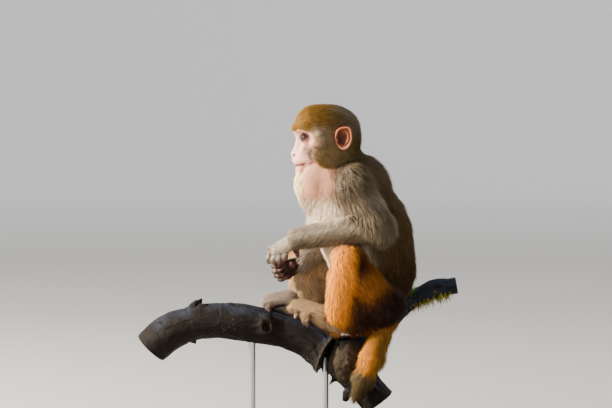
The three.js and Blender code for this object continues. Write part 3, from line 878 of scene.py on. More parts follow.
def dressBody(p, n):
    shares = regionShares(p)
    way = shares @ np.array([unit(r[4]) for r in regions.values()])
    length = shares @ vec(*[r[5] for r in regions.values()])
    tint = shares @ np.stack([colour[r[6]] for r in regions.values()])
    part = dict(zip(regions, shares.T))
    q = toHead(p)
    front, patch = n @ forwards, throatPatch(q)
    # the chest's forward-facing hair is cream down to the belly, its own pale colour and painted light
    # together, with a long fringe under the throat
    trunk = part["breast"] + part["flank"] + part["rump"] + part["throat"]
    paleLitChest = ramp(front, 0.05, 0.6) * ramp(352 - p[:, 2], -6, 14) * ramp(p[:, 2], 215, 245)
    fringe = ramp(front, 0.1, 0.6) * ramp(356 - p[:, 2], 0, 14) * ramp(p[:, 2] - 300, 0, 20)
    tint = painted(
        tint,
        ("cream", (trunk + 0.5 * part["mantleLeft"]) * paleLitChest),
        ("throat", patch),
        # the pale hair under the chin, brightened with painted light
        ("sunlitPale", ramp(-q[:, 1], 36, 46) * ramp(-q[:, 2], 54, 60) * ramp(q[:, 2] + 96, 0, 8)),
    )
    length = (length + 8 * fringe * trunk) * (1 - patch) + 5 * patch
    lift = (np.full(len(p), 0.30) + 0.5 * fringe * trunk) * (1 - 0.7 * patch)
    beard = ramp(-q[:, 1], 36, 44) * ramp(-q[:, 2], 56, 62) * patch
    length, lift = length + 2 * beard, lift + 0.8 * beard
    # away from the body, colour inside the leg, its most and least share, and where the dark rust of the
    # leg's rear begins and is full; that darkness is partly the hair's own colour and partly painted shade
    paler = mixed(colour["beige"], colour["cream"], 0.22)
    sides = {
        "Left": (leftwards, "beige", 0.9, 0, (2, 17)),
        "Right": (-leftwards, paler, 1, 0.8, (40, 60)),
    }
    for side, (outward, shade, most, least, rear) in sides.items():
        inner = ramp(-(n @ outward), -0.1, 0.6)
        leg = np.clip(sum(part[name + side] for name in ("knee", "calf", "ham", "heel")), 0, 1)
        # the back of knee and calf is painted dark rust: rust-brown hair and painted shade together
        rearShade = (part["knee" + side] + part["calf" + side]) * ramp(p[:, 1] - at["knee" + side][1], *rear)
        forearm, upperArm = part["forearm" + side], part["upperArm" + side]
        tint = painted(
            tint,
            (shade, leg * np.maximum(inner * most, least)),
            ("rustAndShade", rearShade),
            ("ash", np.clip(upperArm + forearm, 0, 1) * inner * 0.7),
            # the upper side of the forearm is paler: greyer hair and painted light from above
            ("ash", forearm * ramp(n[:, 2], -0.4, 0.6) * 0.6),
            ("olive", upperArm * ramp(p[:, 1], 40, 70) * 0.25),
        )
        under = forearm * ramp(-n[:, 2], 0.2, 0.7)
        length, lift = length + 3 * under, lift + 0.3 * under
    lift = lift + 0.5 * (part["tailTop"] + part["tailEnd"])
    shoulder = part["upperArmLeft"] + part["mantleLeft"] * 0.5
    streaks = ramp(lattice(p * vec(1, 1, 0.6), 14, 3), 0.1, 0.7)
    pale = bell(p[:, 1], 54, 13) * bell(p[:, 2], 350, 13) * ramp(p[:, 0], 30, 45)
    # hair that faces backwards is painted darker, rust-brown low down and olive higher up: painted shade on
    # the side turned away from the light
    behind = ramp(n[:, 1] + 0.4 * n @ leftwards, 0.3, 1.0)
    lower, upper = colour["rustAndShade"] * vec(2.6, 5, 2), colour["olive"] * vec(1.25, 1, 0.8)
    tint = painted(
        tint,
        (colour["gold"] * 1.3, part["tailTop"] * (0.45 + 0.45 * ramp(p[:, 1], 48, 62))),
        (colour["olive"] * 1.3, part["tailEnd"] * 0.75),
        ("ash", shoulder * streaks * 0.2),
        ("ash", pale * 0.6),
        (
            mixed(lower, upper, ramp(p[:, 2], 220, 300)),
            behind * (trunk + part["mantleLeft"] + part["nape"]) * 0.75,
        ),
    )
    return way, length, tint, 1 - 0.3 * patch, lift


def furEdge(z):
    # how far back the bare face reaches at each height
    heights = [-58, -55, -51, -46, -40, -36, -14, -7, -2, 0, 2]
    return np.interp(z, heights, [-60, -43, -32, -26, -25.5, -27, -26.5, -29, -35, -43, -60])


def hairTint(q, top, behind, patch):
    # golden over the brow, greyer down the cheeks, dark behind the ears
    x, y, z = folded(q).T
    cheek = colour["greyBrown"] * 0.95 + colour["gold"] * 0.7
    streaks = ramp(lattice(q * vec(1, 0.35, 1), 5, 12), 0.0, 0.7)
    grizzle = ramp(lattice(q * vec(1, 0.3, 1), 6, 44), 0.1, 0.8) * ramp(y, -18, 10) * top
    temple = ramp(-y, 4, 26) * ramp(z, -18, -4) * ramp(-z, -11, -3) * ramp(x, 12, 19)
    fringe = bell(z + 39 + 0.12 * (y + 26), 0, 4.5) * ramp(y, -30, -22) * ramp(-y, -26, -6)
    lit = bell(z + 47 + 0.2 * (y + 26), 0, 6) * ramp(y, -34, -26) * ramp(-y, -20, 8)
    return painted(
        mixed(colour["greyBrown"] * 0.95, colour["gold"] * 1.1, ramp(-y, -30, 16) * top),
        (cheek, (1 - top) * (1 - behind)),
        (colour["olive"] * vec(1.5, 1.6, 1.5), ramp(y, 12, 30) * ramp(-z, -14, 6) * 0.85),
        (colour["olive"] * 1.5, streaks * ramp(y, -16, 20) * 0.4),
        (colour["ash"] * 0.7, grizzle * 0.5),
        (colour["ash"] * vec(1.3, 1.1, 0.9), temple * 0.85),
        (colour["gold"] * vec(1.5, 1.35, 1), ramp(-y, 30, 42) * ramp(z, -3, 2)),
        (colour["gold"] * 1.2, fringe),
        ("throat", patch * (1 - fringe)),
        # a painted band of light along the jaw, and the pale beard under the chin brightened with painted
        # light
        (colour["sunlitPale"] * vec(0.8, 0.55, 0.4), lit * 0.5),
        ("sunlitPale", ramp(-y, 36, 46) * ramp(-z + 2.5 * lattice(q, 4, 46), 51, 58)),
    )


def bareTint(q, toEye, opening, mouth):
    # pale skin, with rosy painted shade to the sides, on the brow, the chin and round the eyes, a painted
    # shadow in the crease by the mouth, dark lids with painted shade above them and in the inner corner, and
    # painted shade in the mouth line and nostrils
    x, y, z = folded(q).T
    blotch = ramp(lattice(q, 7, 41) + 0.5 * lattice(q, 3, 42), -0.1, 0.9)
    combed = y + 27 + 1.4 * np.sin(z * 2.3 + 0.5 * y + 1.5 * lattice(q, 6, 45))
    creaseShadow = bell(combed, 0, 6.5) * bell(z, -29.5, 9.5) * ramp(x, 9, 15)
    wrinkleShade = ramp(np.sin(z * 1.9 + 0.5 * y + np.sin(y * 0.6)), 0.2, 0.9) * bell(y, -34, 5)
    nearEye = ramp(15 - toEye, 0, 3)
    inner = np.linalg.norm(folded(q) - vec(7.5, -42.5, -7), axis=1)
    hole = bone(folded(q), *face["nostril"], 1.2, 0.9)
    return painted(
        np.broadcast_to(colour["face"], q.shape),
        # rose to the sides, on the chin and on the brow is painted shade over pink skin; the blotches are the
        # skin's own
        ("roseAndShade", ramp(x, 13, 24) * 0.5),
        ("roseAndShade", ramp(-z, 36, 44) * 0.4),
        ("roseAndShade", ramp(z, -5, 3) * 0.7),
        ("roseAndShade", blotch * 0.35),
        # a painted shadow in the hollow between muzzle and cheek fur
        (colour["roseAndShade"] * 0.5, creaseShadow * 0.7),
        ("cheekShade", np.clip(creaseShadow * 2.2 - 0.4, 0, 0.94)),
        # fine wrinkle lines on the cheek painted darker: painted shade in the creases
        (colour["roseAndShade"] * 0.5, wrinkleShade * ramp(-z, 22, 30) * ramp(x, 8, 14) * 0.6),
        # painted shade round the eye, above the upper lid and in the inner corner; the dark edge of the lids
        # is their own colour
        (colour["roseAndShade"] * 0.7, nearEye * ramp(-opening, -7, -1.5) * 0.7),
        ("lidAndShade", nearEye * ramp(-opening, -3.6, -1.4) * ramp(z, -9, -3) * 0.85),
        ("lidAndShade", nearEye * ramp(-opening, -1.5, -0.5)),
        ("lidAndShade", ramp(-inner, -6, -2) * 0.7),
        ("lip", ramp(-mouth, -3.0, -0.8)),
        # painted shade in the mouth line
        ("umberShade", ramp(-mouth, -1.3, -0.3) * (0.3 + 0.6 * ramp(-y, 34, 41))),
        ("nostril", ramp(-hole, -1.3, -0.1) * 0.85),
        # the inside of the nostril painted dark: painted shade
        ("umberShade", ramp(-hole, 0.0, 0.9) * 0.8),
    )


def dressHead(p, n):
    q = toHead(p)
    x, y, z = folded(q).T
    top, behind, patch = ramp(z, -4, 16), ramp(y, 12, 34), throatPatch(q)
    way = painted(
        vec(0, 0.85, -0.42),
        (vec(0, 1, 0.02), top),
        (vec(0, 0.1, 1), ramp(-y, 38, 50) * ramp(z, -4, 2)),
        (vec(0, 0.25, -1), np.maximum(ramp(-z, 26, 40) * ramp(y, -30, -10), behind * (1 - top * 0.7))),
    )
    way[:, 0] += np.sign(q[:, 0]) * 0.25 * (1 - top)
    way = mixed(way, vec(0, -0.1, -1), patch) @ headAxes
    length = 9 + 3 * (1 - top) + 2 * behind - 3 * ramp(-y, 34, 48)
    length = length * (1 - patch) + 5 * patch
    lift = 0.25 + 0.35 * ramp(-y, 38, 49) * ramp(z, -4, 2) * ramp(-z, -16, -6) - 0.15 * patch
    beard = ramp(-y, 36, 44) * ramp(-z, 56, 62)
    length, lift = length + 2 * beard, lift + 0.6 * beard
    # the hair comes lowest between the eyes and arches over each of them
    ragged = 1.5 * lattice(q, 4, 30) + 4 * lattice(q, 9, 31) * ramp(z, -6, 4)
    arch = 4 * ramp(x, 2, 13) * ramp(z, -20, -8)
    bare = ramp(furEdge(z - arch) + ragged - y, -2.5, 2.5)
    toEye = np.linalg.norm(folded(q) - vec(*eye["at"]), axis=1)
    opening = eyeOpening(folded(q))
    mouth = np.abs(z - lipHeight(y)) + 3 * ramp(y, -38, -31)
    tint = mixed(hairTint(q, top, behind, patch), bareTint(q, toEye, opening, mouth), bare)
    # fine down on the bare skin, and lashes on the edge of the upper lid
    down = bare * 0.22 * ramp(toEye, 10.5, 13) * ramp(np.abs(mouth), 1, 3)
    lash = ramp(-opening, -1.7, -0.5) * ramp(opening, -0.4, 0.2) * ramp(z, -6, -3) * ramp(13 - toEye, 0, 1)
    fur = np.maximum((1 - ramp(bare, 0.2, 0.8)) * (1 - 0.25 * patch), down)
    length = mixed(length[:, None], vec(2.4), bare)[:, 0] + 1.4 * lash
    return way, length, tint, np.maximum(fur, 1.3 * lash), lift + 2.2 * lash


def dressEar(side):
    def dress(p, n):
        local = (toHead(p) - vec(side * ear["at"][0], *ear["at"][1:])) @ earFrame(side).T
        u, w = local[:, 0], local[:, 1]
        s = earShare(local)
        facing = (n @ headAxes.T) @ earFrame(side)[2]
        hollowShade = np.exp(-((u + 4) ** 2 + (w + 2.5) ** 2 / 3) / 14)
        tint = painted(
            colour["earBowl"],
            ("earRim", ramp(s, 0.7, 1.02) * ramp(w, -22, 10)),
            (colour["earRim"] * 0.6, bell(s, 0.54, 0.12) * ramp(u, -3, 3) * 0.5),
            # painted shade in the deep hollow of the ear
            ("umberShade", hollowShade * ramp(facing, 0, 0.4)),
            ((colour["earRim"] + colour["throat"]) / 2, ramp(-w, 6, 13) * ramp(s, 0.5, 0.9)),
            ("roseAndShade", ramp(-facing, 0, 0.5) * 0.7),
        )
        way = np.broadcast_to(vec(0, 0.8, 0.4) @ headAxes, p.shape)
        fur = ramp(-facing, 0.1, 0.5) * ramp(1.02 - s, 0, 0.3) * 0.5
        return way, np.full(len(p), 4.0), tint, fur, np.full(len(p), 0.2)

    return dress


def dressPaw(bones, back, along, top, sole, hair):
    def dress(p, n):
        ends = np.stack([bone(p, *b) for b in bones], 1)
        nearest = ends.argmin(1)
        ways = np.array([unit(b[1] - b[0]) for b in bones])
        radius = np.array([b[3] for b in bones])[nearest]
        hairy = ramp(n @ unit(back), -0.1, 0.5) * (1 - np.isin(nearest, bareBones))
        near = np.partition(ends, 1, axis=1)
        # painted shade between fingers and toes
        creviceShade = ramp(1.5 - (near[:, 1] - near[:, 0]), 0, 1.4) * ramp(5.5 - radius, 0, 1)
        tint = painted(
            mixed(sole, top, hairy),
            ("fingerPink", ramp(4.6 - radius, 0, 1.6) * (1 - hairy) * 0.5),
            ("umberShade", creviceShade * 0.6),
            ("fingerPink", ramp(lattice(p, 4, 5), 0.1, 0.8) * hairy * 0.4),
        )
        way = unit(ways[nearest] + 0.3 * unit(along) + vec(0, 0, -0.35))
        length = 4.5 + ramp(radius, 3, 8) * (hair - 4.5)
        return way, length, tint, hairy * (0.45 + 0.75 * ramp(radius, 3.2, 6)), np.full(len(p), 0.35)

    return dress


def buildSkin():
    pieces = {
        "body": (bodySurface(), dressBody),
        "head": (headSurface(), dressHead),
        "earLeft": (earSurface(1), dressEar(1)),
        "earRight": (earSurface(-1), dressEar(-1)),
    }
    footTops = {"Left": colour["cream"] * vec(0.34, 0.28, 0.20), "Right": colour["ash"] * 0.8}
    for side in ("Left", "Right"):
        bones = handBones(side)
        along = at["knuckle" + side] - at["wrist" + side]
        dress = dressPaw(bones, hands[side]["back"], along, colour["ash"] * 1.45, colour["palm"], 9)
        pieces["hand" + side] = (pawSurface(bones), dress)
        bones = footBones(side)
        along = at["toe" + side] - at["ankle" + side]
        dress = dressPaw(bones, (0.45, -0.2, 1), along, footTops[side], colour["palm"], 14)
        pieces["foot" + side] = (pawSurface(bones), dress)
    rows = []
    for index, (name, ((points, quads), dress)) in enumerate(pieces.items()):
        n = normalsOf(points, quads)
        way, length, tint, fur, lift = dress(points, n)
        # no hair where one piece lies inside another
        if name == "body":
            fur = fur * ramp(headField(toHead(points)), -6, -2)
        else:
            fur = fur * ramp(bodyField(points), -1.5, 1.0)
        row = {"way": way, "length": length, "tint": tint, "fur": fur, "lift": lift, "normal": n}
        row["part"] = np.full(len(points), index)
        rows.append(row)
    points, quads = joinedParts([piece[0] for piece in pieces.values()])
    print("skin:", {name: len(piece[0][1]) for name, piece in pieces.items()}, "faces")
    dressed = {key: np.concatenate([np.asarray(row[key], np.float32) for row in rows]) for key in rows[0]}
    return points, quads, dressed, list(pieces)


# thin locks that start in the skin, lie along it and end in a point
coat = {
    "perSquare": 0.62,  # locks to a square millimetre of body
    "headMore": 3.2,
    "width": 0.95,
    "widthHead": 0.5,
    "lift": 30,  # degrees off the skin at the root
    "liftEnd": 14,
    "stray": 0.20,
    "most": 19500,  # locks to a piece
    "slots": {
        "head": "crown_fur",
        "neck": "grey_fur",
        "trunk": "grey_fur",
        "armLeft": "grey_fur",
        "armRight": "grey_fur",
        "legLeft": "orange_fur",
        "legRight": "pale_fur",
        "tail": "orange_fur",
    },
}


def halved(quads):
    return np.concatenate([quads[:, [0, 1, 2]], quads[:, [0, 2, 3]]])


def sampleRoots(points, quads, dressed, cornerUv):
    triangles = halved(quads)
    cornerOf = halved(np.arange(quads.size).reshape(-1, 4))
    a, b, c = (points[triangles[:, k]] for k in range(3))
    area = np.linalg.norm(np.cross(b - a, c - a), axis=1) / 2
    part = dressed["part"][triangles[:, 0]].astype(int)
    more = np.where(part == 0, 1.0, coat["headMore"])
    weight = area * more * dressed["fur"][triangles].mean(1) * coat["perSquare"] / coarser**2
    count = int(weight.sum())
    pick = dice.choice(len(triangles), count, p=weight / weight.sum())
    s, t = np.sqrt(dice.random(count)), dice.random(count)
    share = np.stack([1 - s, s * (1 - t), s * t], 1).astype(np.float32)

    def atRoots(values, corners):
        return (values.reshape(len(values), -1)[corners[pick]] * share[..., None]).sum(1)

    root = {key: atRoots(dressed[key], triangles) for key in ("way", "length", "tint", "lift", "normal")}
    root["place"] = atRoots(points, triangles)
    root["uv"] = atRoots(cornerUv, cornerOf)
    root["part"] = part[pick]
    root["length"], root["lift"] = root["length"][:, 0], root["lift"][:, 0]
    root["normal"] = unit(root["normal"])
    return root


def growLocks(root):
    count = len(root["place"])
    p, n, length = root["place"], root["normal"], root["length"]
    wander = np.stack([lattice(p, 11, seed) + 0.6 * lattice(p, 5, seed + 9) for seed in range(3)], 1)
    way = unit(root["way"]) + coat["stray"] * wander + 0.10 * dice.normal(size=(count, 3))
    way = unit(way - (way * n).sum(1, keepdims=True) * n)
    side = unit(np.cross(way, n))
    fine = np.where(root["part"] == 0, 1.0, coat["widthHead"] / coat["width"])
    length = length * (0.72 + 0.5 * dice.random(count)) * (1 + 0.12 * lattice(p, 9, 20))
    width = coat["width"] * fine * (0.7 + 0.6 * dice.random(count)) * (0.3 + 0.7 * ramp(length, 1, 7))
    lift = np.radians(coat["lift"] * (0.6 + 1.0 * root["lift"]) * (0.7 + 0.6 * dice.random(count)))
    liftEnd = np.radians(coat["liftEnd"] * (0.4 + 2.0 * root["lift"]) * (0.4 + 1.2 * dice.random(count)))
    start = p - n * 1.2
    first = way * np.cos(lift)[:, None] + n * np.sin(lift)[:, None]
    second = way * np.cos(liftEnd)[:, None] + n * np.sin(liftEnd)[:, None]
    middle = start + first * (length * 0.45)[:, None]
    tip = middle + second * (length * 0.55)[:, None] + vec(0, 0, -1) * (length * 0.05)[:, None]
    points = np.empty((count, 7, 3), np.float32)
    normals = np.empty((count, 7, 3), np.float32)
    for ring, (centre, size) in enumerate(((start, 0.9), (middle, 0.8))):
        for k, (across, over) in enumerate(((-0.5, -0.05), (0.5, -0.05), (0.0, 0.32))):
            shift = side * (across * size * width)[:, None] + n * (over * size * width)[:, None]
            points[:, ring * 3 + k] = centre + shift
            normals[:, ring * 3 + k] = unit(n * 0.75 + unit(shift) * 0.45)
    points[:, 6] = tip
    normals[:, 6] = unit(n + second * 0.2)
    faces = [(0, 1, 2), (0, 4, 1), (0, 3, 4), (1, 5, 2), (1, 4, 5), (2, 3, 0), (2, 5, 3)]
    faces += [(3, 6, 4), (4, 6, 5), (5, 6, 3)]
    return points, normals, np.array(faces)


def lockObject(name, locks, normals, faces, root, pick):
    count, corners = len(pick), locks.shape[1]
    points = locks[pick].reshape(-1, 3)
    triangles = (np.arange(count)[:, None, None] * corners + faces[None]).reshape(-1, 3)
    made = meshObject(name, points, triangles)
    mesh = made.data
    mesh.normals_split_custom_set_from_vertices(normals[pick].reshape(-1, 3))
    putColours(made, "tint", np.repeat(root["tint"][pick], corners, 0))
    along = np.tile(vec(0, 0, 0, 0.5, 0.5, 0.5, 1), count)
    putColours(made, "lock", np.stack([along, np.repeat(root["strand"][pick], corners), along], 1))
    patch = np.array([(0, 0), (1, 0), (0.5, 0), (0, 0.6), (1, 0.6), (0.5, 0.6), (0.5, 1)], np.float32)
    uv = root["uv"][pick][:, None] + (patch - 0.5)[None] * 0.003
    layer = mesh.uv_layers.new(name="OFBake")
    layer.data.foreach_set("uv", uv.reshape(-1, 2)[triangles.ravel()].astype(np.float32).ravel())
    return made


def buildCoat(points, quads, dressed, cornerUv, partNames):
    root = sampleRoots(points, quads, dressed, cornerUv)
    root["strand"] = dice.random(len(root["place"])).astype(np.float32)
    locks, normals, faces = growLocks(root)
    group = np.array([r[7] for r in regions.values()])[regionShares(root["place"]).argmax(1)]
    for index, part in enumerate(partNames):
        if part != "body":
            group[root["part"] == index] = "head" if part.startswith(("head", "ear")) else part
    made = []
    for name in dict.fromkeys(group.tolist()):
        mine = np.nonzero(group == name)[0]
        mine = mine[np.argsort(root["place"][mine, 2])]
        pieces = max(1, math.ceil(len(mine) / coat["most"]))
        for k, pick in enumerate(np.array_split(mine, pieces)):
            piece = lockObject(f"coat_{name}_{k + 1}", locks, normals, faces, root, pick)
            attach(piece, "root")
            made.append(piece)
    print("coat:", len(root["place"]), "locks in", len(made), "pieces")
    return made


def coatToneGroup():
    # the same markings for skin and coat: patches and single hairs lighter and darker
    takes = {"Tint": ("colour", None)}
    for name, value in {"Along": 1.0, "Strand": 0.5, "Root": 0.55, "Variety": 0.30}.items():
        takes[name] = ("value", value)
    group, given, result = newGroup("coatTone", takes, {"Color": "colour"})
    patches = fromTo(group, noise(group, objectPlace(group), 70.0, 3.0), 0.78, 1.22)
    single = maths(group, "SUBTRACT", given["Strand"], 0.5)
    single = maths(group, "MULTIPLY_ADD", single, maths(group, "MULTIPLY", given["Variety"], 2.0), 1.0)
    rooted = fromTo(group, maths(group, "POWER", given["Along"], 0.7), given["Root"], 1.12)
    shade = maths(group, "MULTIPLY", maths(group, "MULTIPLY", patches, single), rooted)
    toned = scaled(group, given["Tint"], shade)
    # some hairs end paler
    pale = maths(group, "MULTIPLY", given["Along"], maths(group, "GREATER_THAN", given["Strand"], 0.8))
    lifted = addNode(group, "VectorMath", {0: toned, 1: (0.012, 0.010, 0.007)}, operation="ADD").outputs[0]
    feed(group, result, {"Color": blended(group, pale, toned, scaled(group, lifted, 1.35))})
    return group


def furFinish(toneGroup):
    finish, tree, shader = newFinish("coat")
    lock = addNode(tree, "SeparateColor", {0: attribute(tree, "lock")}).outputs
    tone = addNode(tree, "Group", node_tree=toneGroup)
    feed(tree, tone, {"Tint": attribute(tree, "tint"), "Along": lock[0], "Strand": lock[1]})
    feed(tree, shader, {"Base Color": tone.outputs[0], "Roughness": 0.62, "Specular IOR Level": 0.10})
    return finish


def skinReliefGroup():
    # pores, fine creases and mottling of bare skin
    gives = {"Color": "colour", "Height": "value"}
    group, given, result = newGroup("skinRelief", {"Tint": ("colour", None)}, gives)
    place = objectPlace(group)
    mottle = fromTo(group, noise(group, place, 160.0, 4.0, 0.6), 0.86, 1.12)
    flush = maths(group, "MULTIPLY", noise(group, place, 45.0, 2.0), 0.8)
    warm = addNode(group, "VectorMath", {0: given["Tint"], 1: (1.0, 0.84, 0.80)}, operation="MULTIPLY")
    tinted = blended(group, flush, given["Tint"], warm.outputs[0])
    pores = addNode(group, "TexVoronoi", {"Vector": place, "Scale": 1500.0}).outputs["Distance"]
    height = maths(group, "MULTIPLY_ADD", pores, 0.35, noise(group, place, 420.0, 5.0, 0.65))
    feed(group, result, {"Color": scaled(group, tinted, mottle), "Height": height})
    return group


def skinFinish(toneGroup, reliefGroup):
    finish, tree, shader = newFinish("skin")
    tint = attribute(tree, "tint")
    tone = addNode(tree, "Group", node_tree=toneGroup)
    relief = addNode(tree, "Group", node_tree=reliefGroup)
    feed(tree, tone, {"Tint": tint, "Along": 0.35})
    feed(tree, relief, {"Tint": tint})
    base = blended(tree, attribute(tree, "bare", "Fac"), tone.outputs[0], relief.outputs["Color"])
    feed(tree, shader, {"Base Color": base, "Normal": bumped(tree, relief.outputs["Height"], 0.35, 0.0004)})
    feed(tree, shader, {"Roughness": 0.55, "Specular IOR Level": 0.2})
    feed(tree, shader, {"Subsurface Weight": 0.12, "Subsurface Radius": (0.004, 0.0015, 0.0008)})
    return finish


def buildEye(side):
    gaze = unit(eye["gaze"][side])
    across = unit(np.cross(vec(0, 0, 1), gaze))
    up = np.cross(gaze, across)
    rings, sides = 64, 64
    tilt = np.linspace(0, math.pi, rings)
    turn = np.arange(sides) * 2 * math.pi / sides
    reach = eye["radius"] - 0.02 + eye["corneaRise"] * ramp(eye["iris"] + 6 - np.degrees(tilt), 0, 26)
    ring = np.sin(tilt)[:, None, None] * (np.cos(turn)[:, None] * across + np.sin(turn)[:, None] * up)
    points = (ring + np.cos(tilt)[:, None, None] * gaze) * reach[:, None, None] + eyeMiddle[side]
    made = meshObject("eyeball_" + side, points.reshape(-1, 3), ringQuads(rings, sides))
    putValues(made, "off", np.repeat(np.degrees(tilt) / 90, sides))
    putValues(made, "round", np.tile(np.sin(turn * 23 + 2 * np.sin(turn * 7)), rings))
    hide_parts("eye_" + side)
    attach(made, "root")
    return made


def eyeFinish():
    finish, tree, shader = newFinish("eye")
    wavy = maths(tree, "MULTIPLY_ADD", attribute(tree, "round", "Fac"), 0.012, attribute(tree, "off", "Fac"))
    ring = addNode(tree, "ValToRGB", {0: wavy})
    pupil, iris = eye["pupil"] / 90, eye["iris"] / 90
    stops = [
        (0.0, (0.002, 0.0015, 0.001)),
        (pupil, (0.002, 0.0015, 0.001)),
        (pupil + 0.03, (0.034, 0.010, 0.003)),
        (iris - 0.09, (0.066, 0.021, 0.006)),
        (iris, (0.010, 0.005, 0.003)),
        (iris + 0.08, (0.035, 0.018, 0.012)),
        (0.75, (0.085, 0.048, 0.035)),
    ]
    while len(ring.color_ramp.elements) < len(stops):
        ring.color_ramp.elements.new(0.5)
    for element, (spot, shade) in zip(ring.color_ramp.elements, stops):
        element.position, element.color = spot, (*shade, 1)
    feed(tree, shader, {"Base Color": ring.outputs[0], "Roughness": 0.3, "Specular IOR Level": 0.15})
    feed(tree, shader, {"Coat Weight": 0.8, "Coat IOR": 1.36, "Coat Roughness": 0.02})
    return finish


def buildNails():
    # small curved plates over the ends of the fingers and toes
    size = 9
    spread = np.linspace(-1, 1, size)
    u, v = np.meshgrid(spread, spread, indexing="ij")
    grid = np.arange(size**2).reshape(size, size)
    lower = np.stack([grid[:-1, :-1], grid[:-1, 1:], grid[1:, 1:], grid[1:, :-1]], -1).reshape(-1, 4)
    edge = np.concatenate([grid[0, :-1], grid[:-1, -1], grid[-1, :0:-1], grid[:0:-1, 0]])
    after = np.roll(edge, -1)
    rim = np.stack([edge, edge + grid.size, after + grid.size, after], 1)
    faces = np.concatenate([lower, (lower + grid.size)[:, ::-1], rim])
    parts = []
    for tip, way, outer, radius in nails:
        across = unit(np.cross(way, outer))
        over = unit(np.cross(across, way))
        plate = []
        for lift in (0.0, 0.35):
            width = radius * (0.92 - 0.14 * np.abs(v) ** 3)
            sideways = across * (np.sin(u * 1.25) * width)[..., None]
            high = over * (np.cos(u * 1.25) * radius * 0.95 + lift - 0.10 * v * v)[..., None]
            plate.append(tip + sideways + high + way * (v * radius * 1.15 + 0.6)[..., None])
        parts.append((np.stack(plate).reshape(-1, 3), faces))
    made = meshObject("nails", *joinedParts(parts))
    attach(made, "root")
    return made


def nailFinish():
    finish, tree, shader = newFinish("nail")
    streaks = noise(tree, objectPlace(tree), 900.0, 3.0)
    shade = blended(tree, streaks, (0.035, 0.02, 0.016), (0.16, 0.10, 0.085))
    feed(tree, shader, {"Base Color": shade, "Roughness": 0.35})
    return finish


branch = {
    "radius": 26,
    "limb": [
        (-2, -262, 128),
        (0, -238, 150),
        (2, -204, 164),
        (2, -160, 168),
        (0, -114, 162),
        (0, -71, 152),
        (0, -36, 139),
        (0, -2, 119),
        (0, 31, 88),
        (0, 62, 50),
    ],
    "fork": [(-2, 0, 116), (-34, 32, 124), (-60, 64, 146), (-76, 102, 184), (-78, 140, 204), (-76, 178, 212)],
    "lip": {"at": (4, -12, 120), "way": (0.22, 0.88, -0.42), "radius": 34},
    "knob": {"at": (6, 15, 112), "radii": (31, 27, 34)},
    # small swellings: from, to, radius at each end
    "warts": [
        ((6, -206, 186), (8, -197, 194), 5, 4),
        ((4, -196, 189), (4, -190, 197), 4, 2.5),
        ((10, -190, 189), (12, -184, 192), 4, 3),
        ((8, -151, 191), (8, -147, 193), 4, 3),
        ((18, 2, 143), (20, 4, 149), 4, 3.5),
        ((8, -2, 84), (8, -8, 77), 4, 1.5),
        ((12, 17, 64), (14, 15, 58), 8, 6),
        ((0, -202, 141), (2, -198, 134), 6, 1.5),
        ((22, 48, 78), (24, 58, 72), 5, 3),
    ],
    "ridge": 1.0,
    "step": 1.4,
}


def curveThrough(spots, count):
    # a smooth path through all the spots
    spots = np.array(spots, np.float32)
    full = np.concatenate([[2 * spots[0] - spots[1]], spots, [2 * spots[-1] - spots[-2]]])
    where = np.linspace(0, len(spots) - 1 - 1e-6, count)
    i, t = where.astype(int), (where % 1)[:, None]
    a, b, c, d = full[i], full[i + 1], full[i + 2], full[i + 3]
    return 0.5 * (2 * b + (c - a) * t + (2 * a - 5 * b + 4 * c - d) * t**2 + (3 * b - a - 3 * c + d) * t**3)


def pathPlace(p, path, radii):
    # distance to a path less its radius, and how far along it the nearest spot is
    best = np.full(len(p), 1e9, np.float32)
    along = np.zeros(len(p), np.float32)
    run = np.concatenate([[0], np.cumsum(np.linalg.norm(np.diff(path, axis=0), axis=1))])
    for k in range(len(path) - 1):
        axis = path[k + 1] - path[k]
        share = np.clip((p - path[k]) @ axis / (axis @ axis), 0, 1)
        far = np.linalg.norm(p - path[k] - share[:, None] * axis, axis=1)
        far = far - (radii[k] + (radii[k + 1] - radii[k]) * share)
        nearer = far < best
        best[nearer] = far[nearer]
        along[nearer] = (run[k] + (run[k + 1] - run[k]) * share)[nearer]
    return best, along


limbPath = curveThrough(branch["limb"], 28)
forkPath = curveThrough(branch["fork"], 16)
limbRadii = branch["radius"] + 1.2 * np.sin(np.linspace(0, 1, 28) * 19)
forkRadii = 19 - 5.5 * np.sqrt(np.linspace(0, 1, 16)) + 0.7 * np.sin(np.linspace(0, 1, 16) * 17)


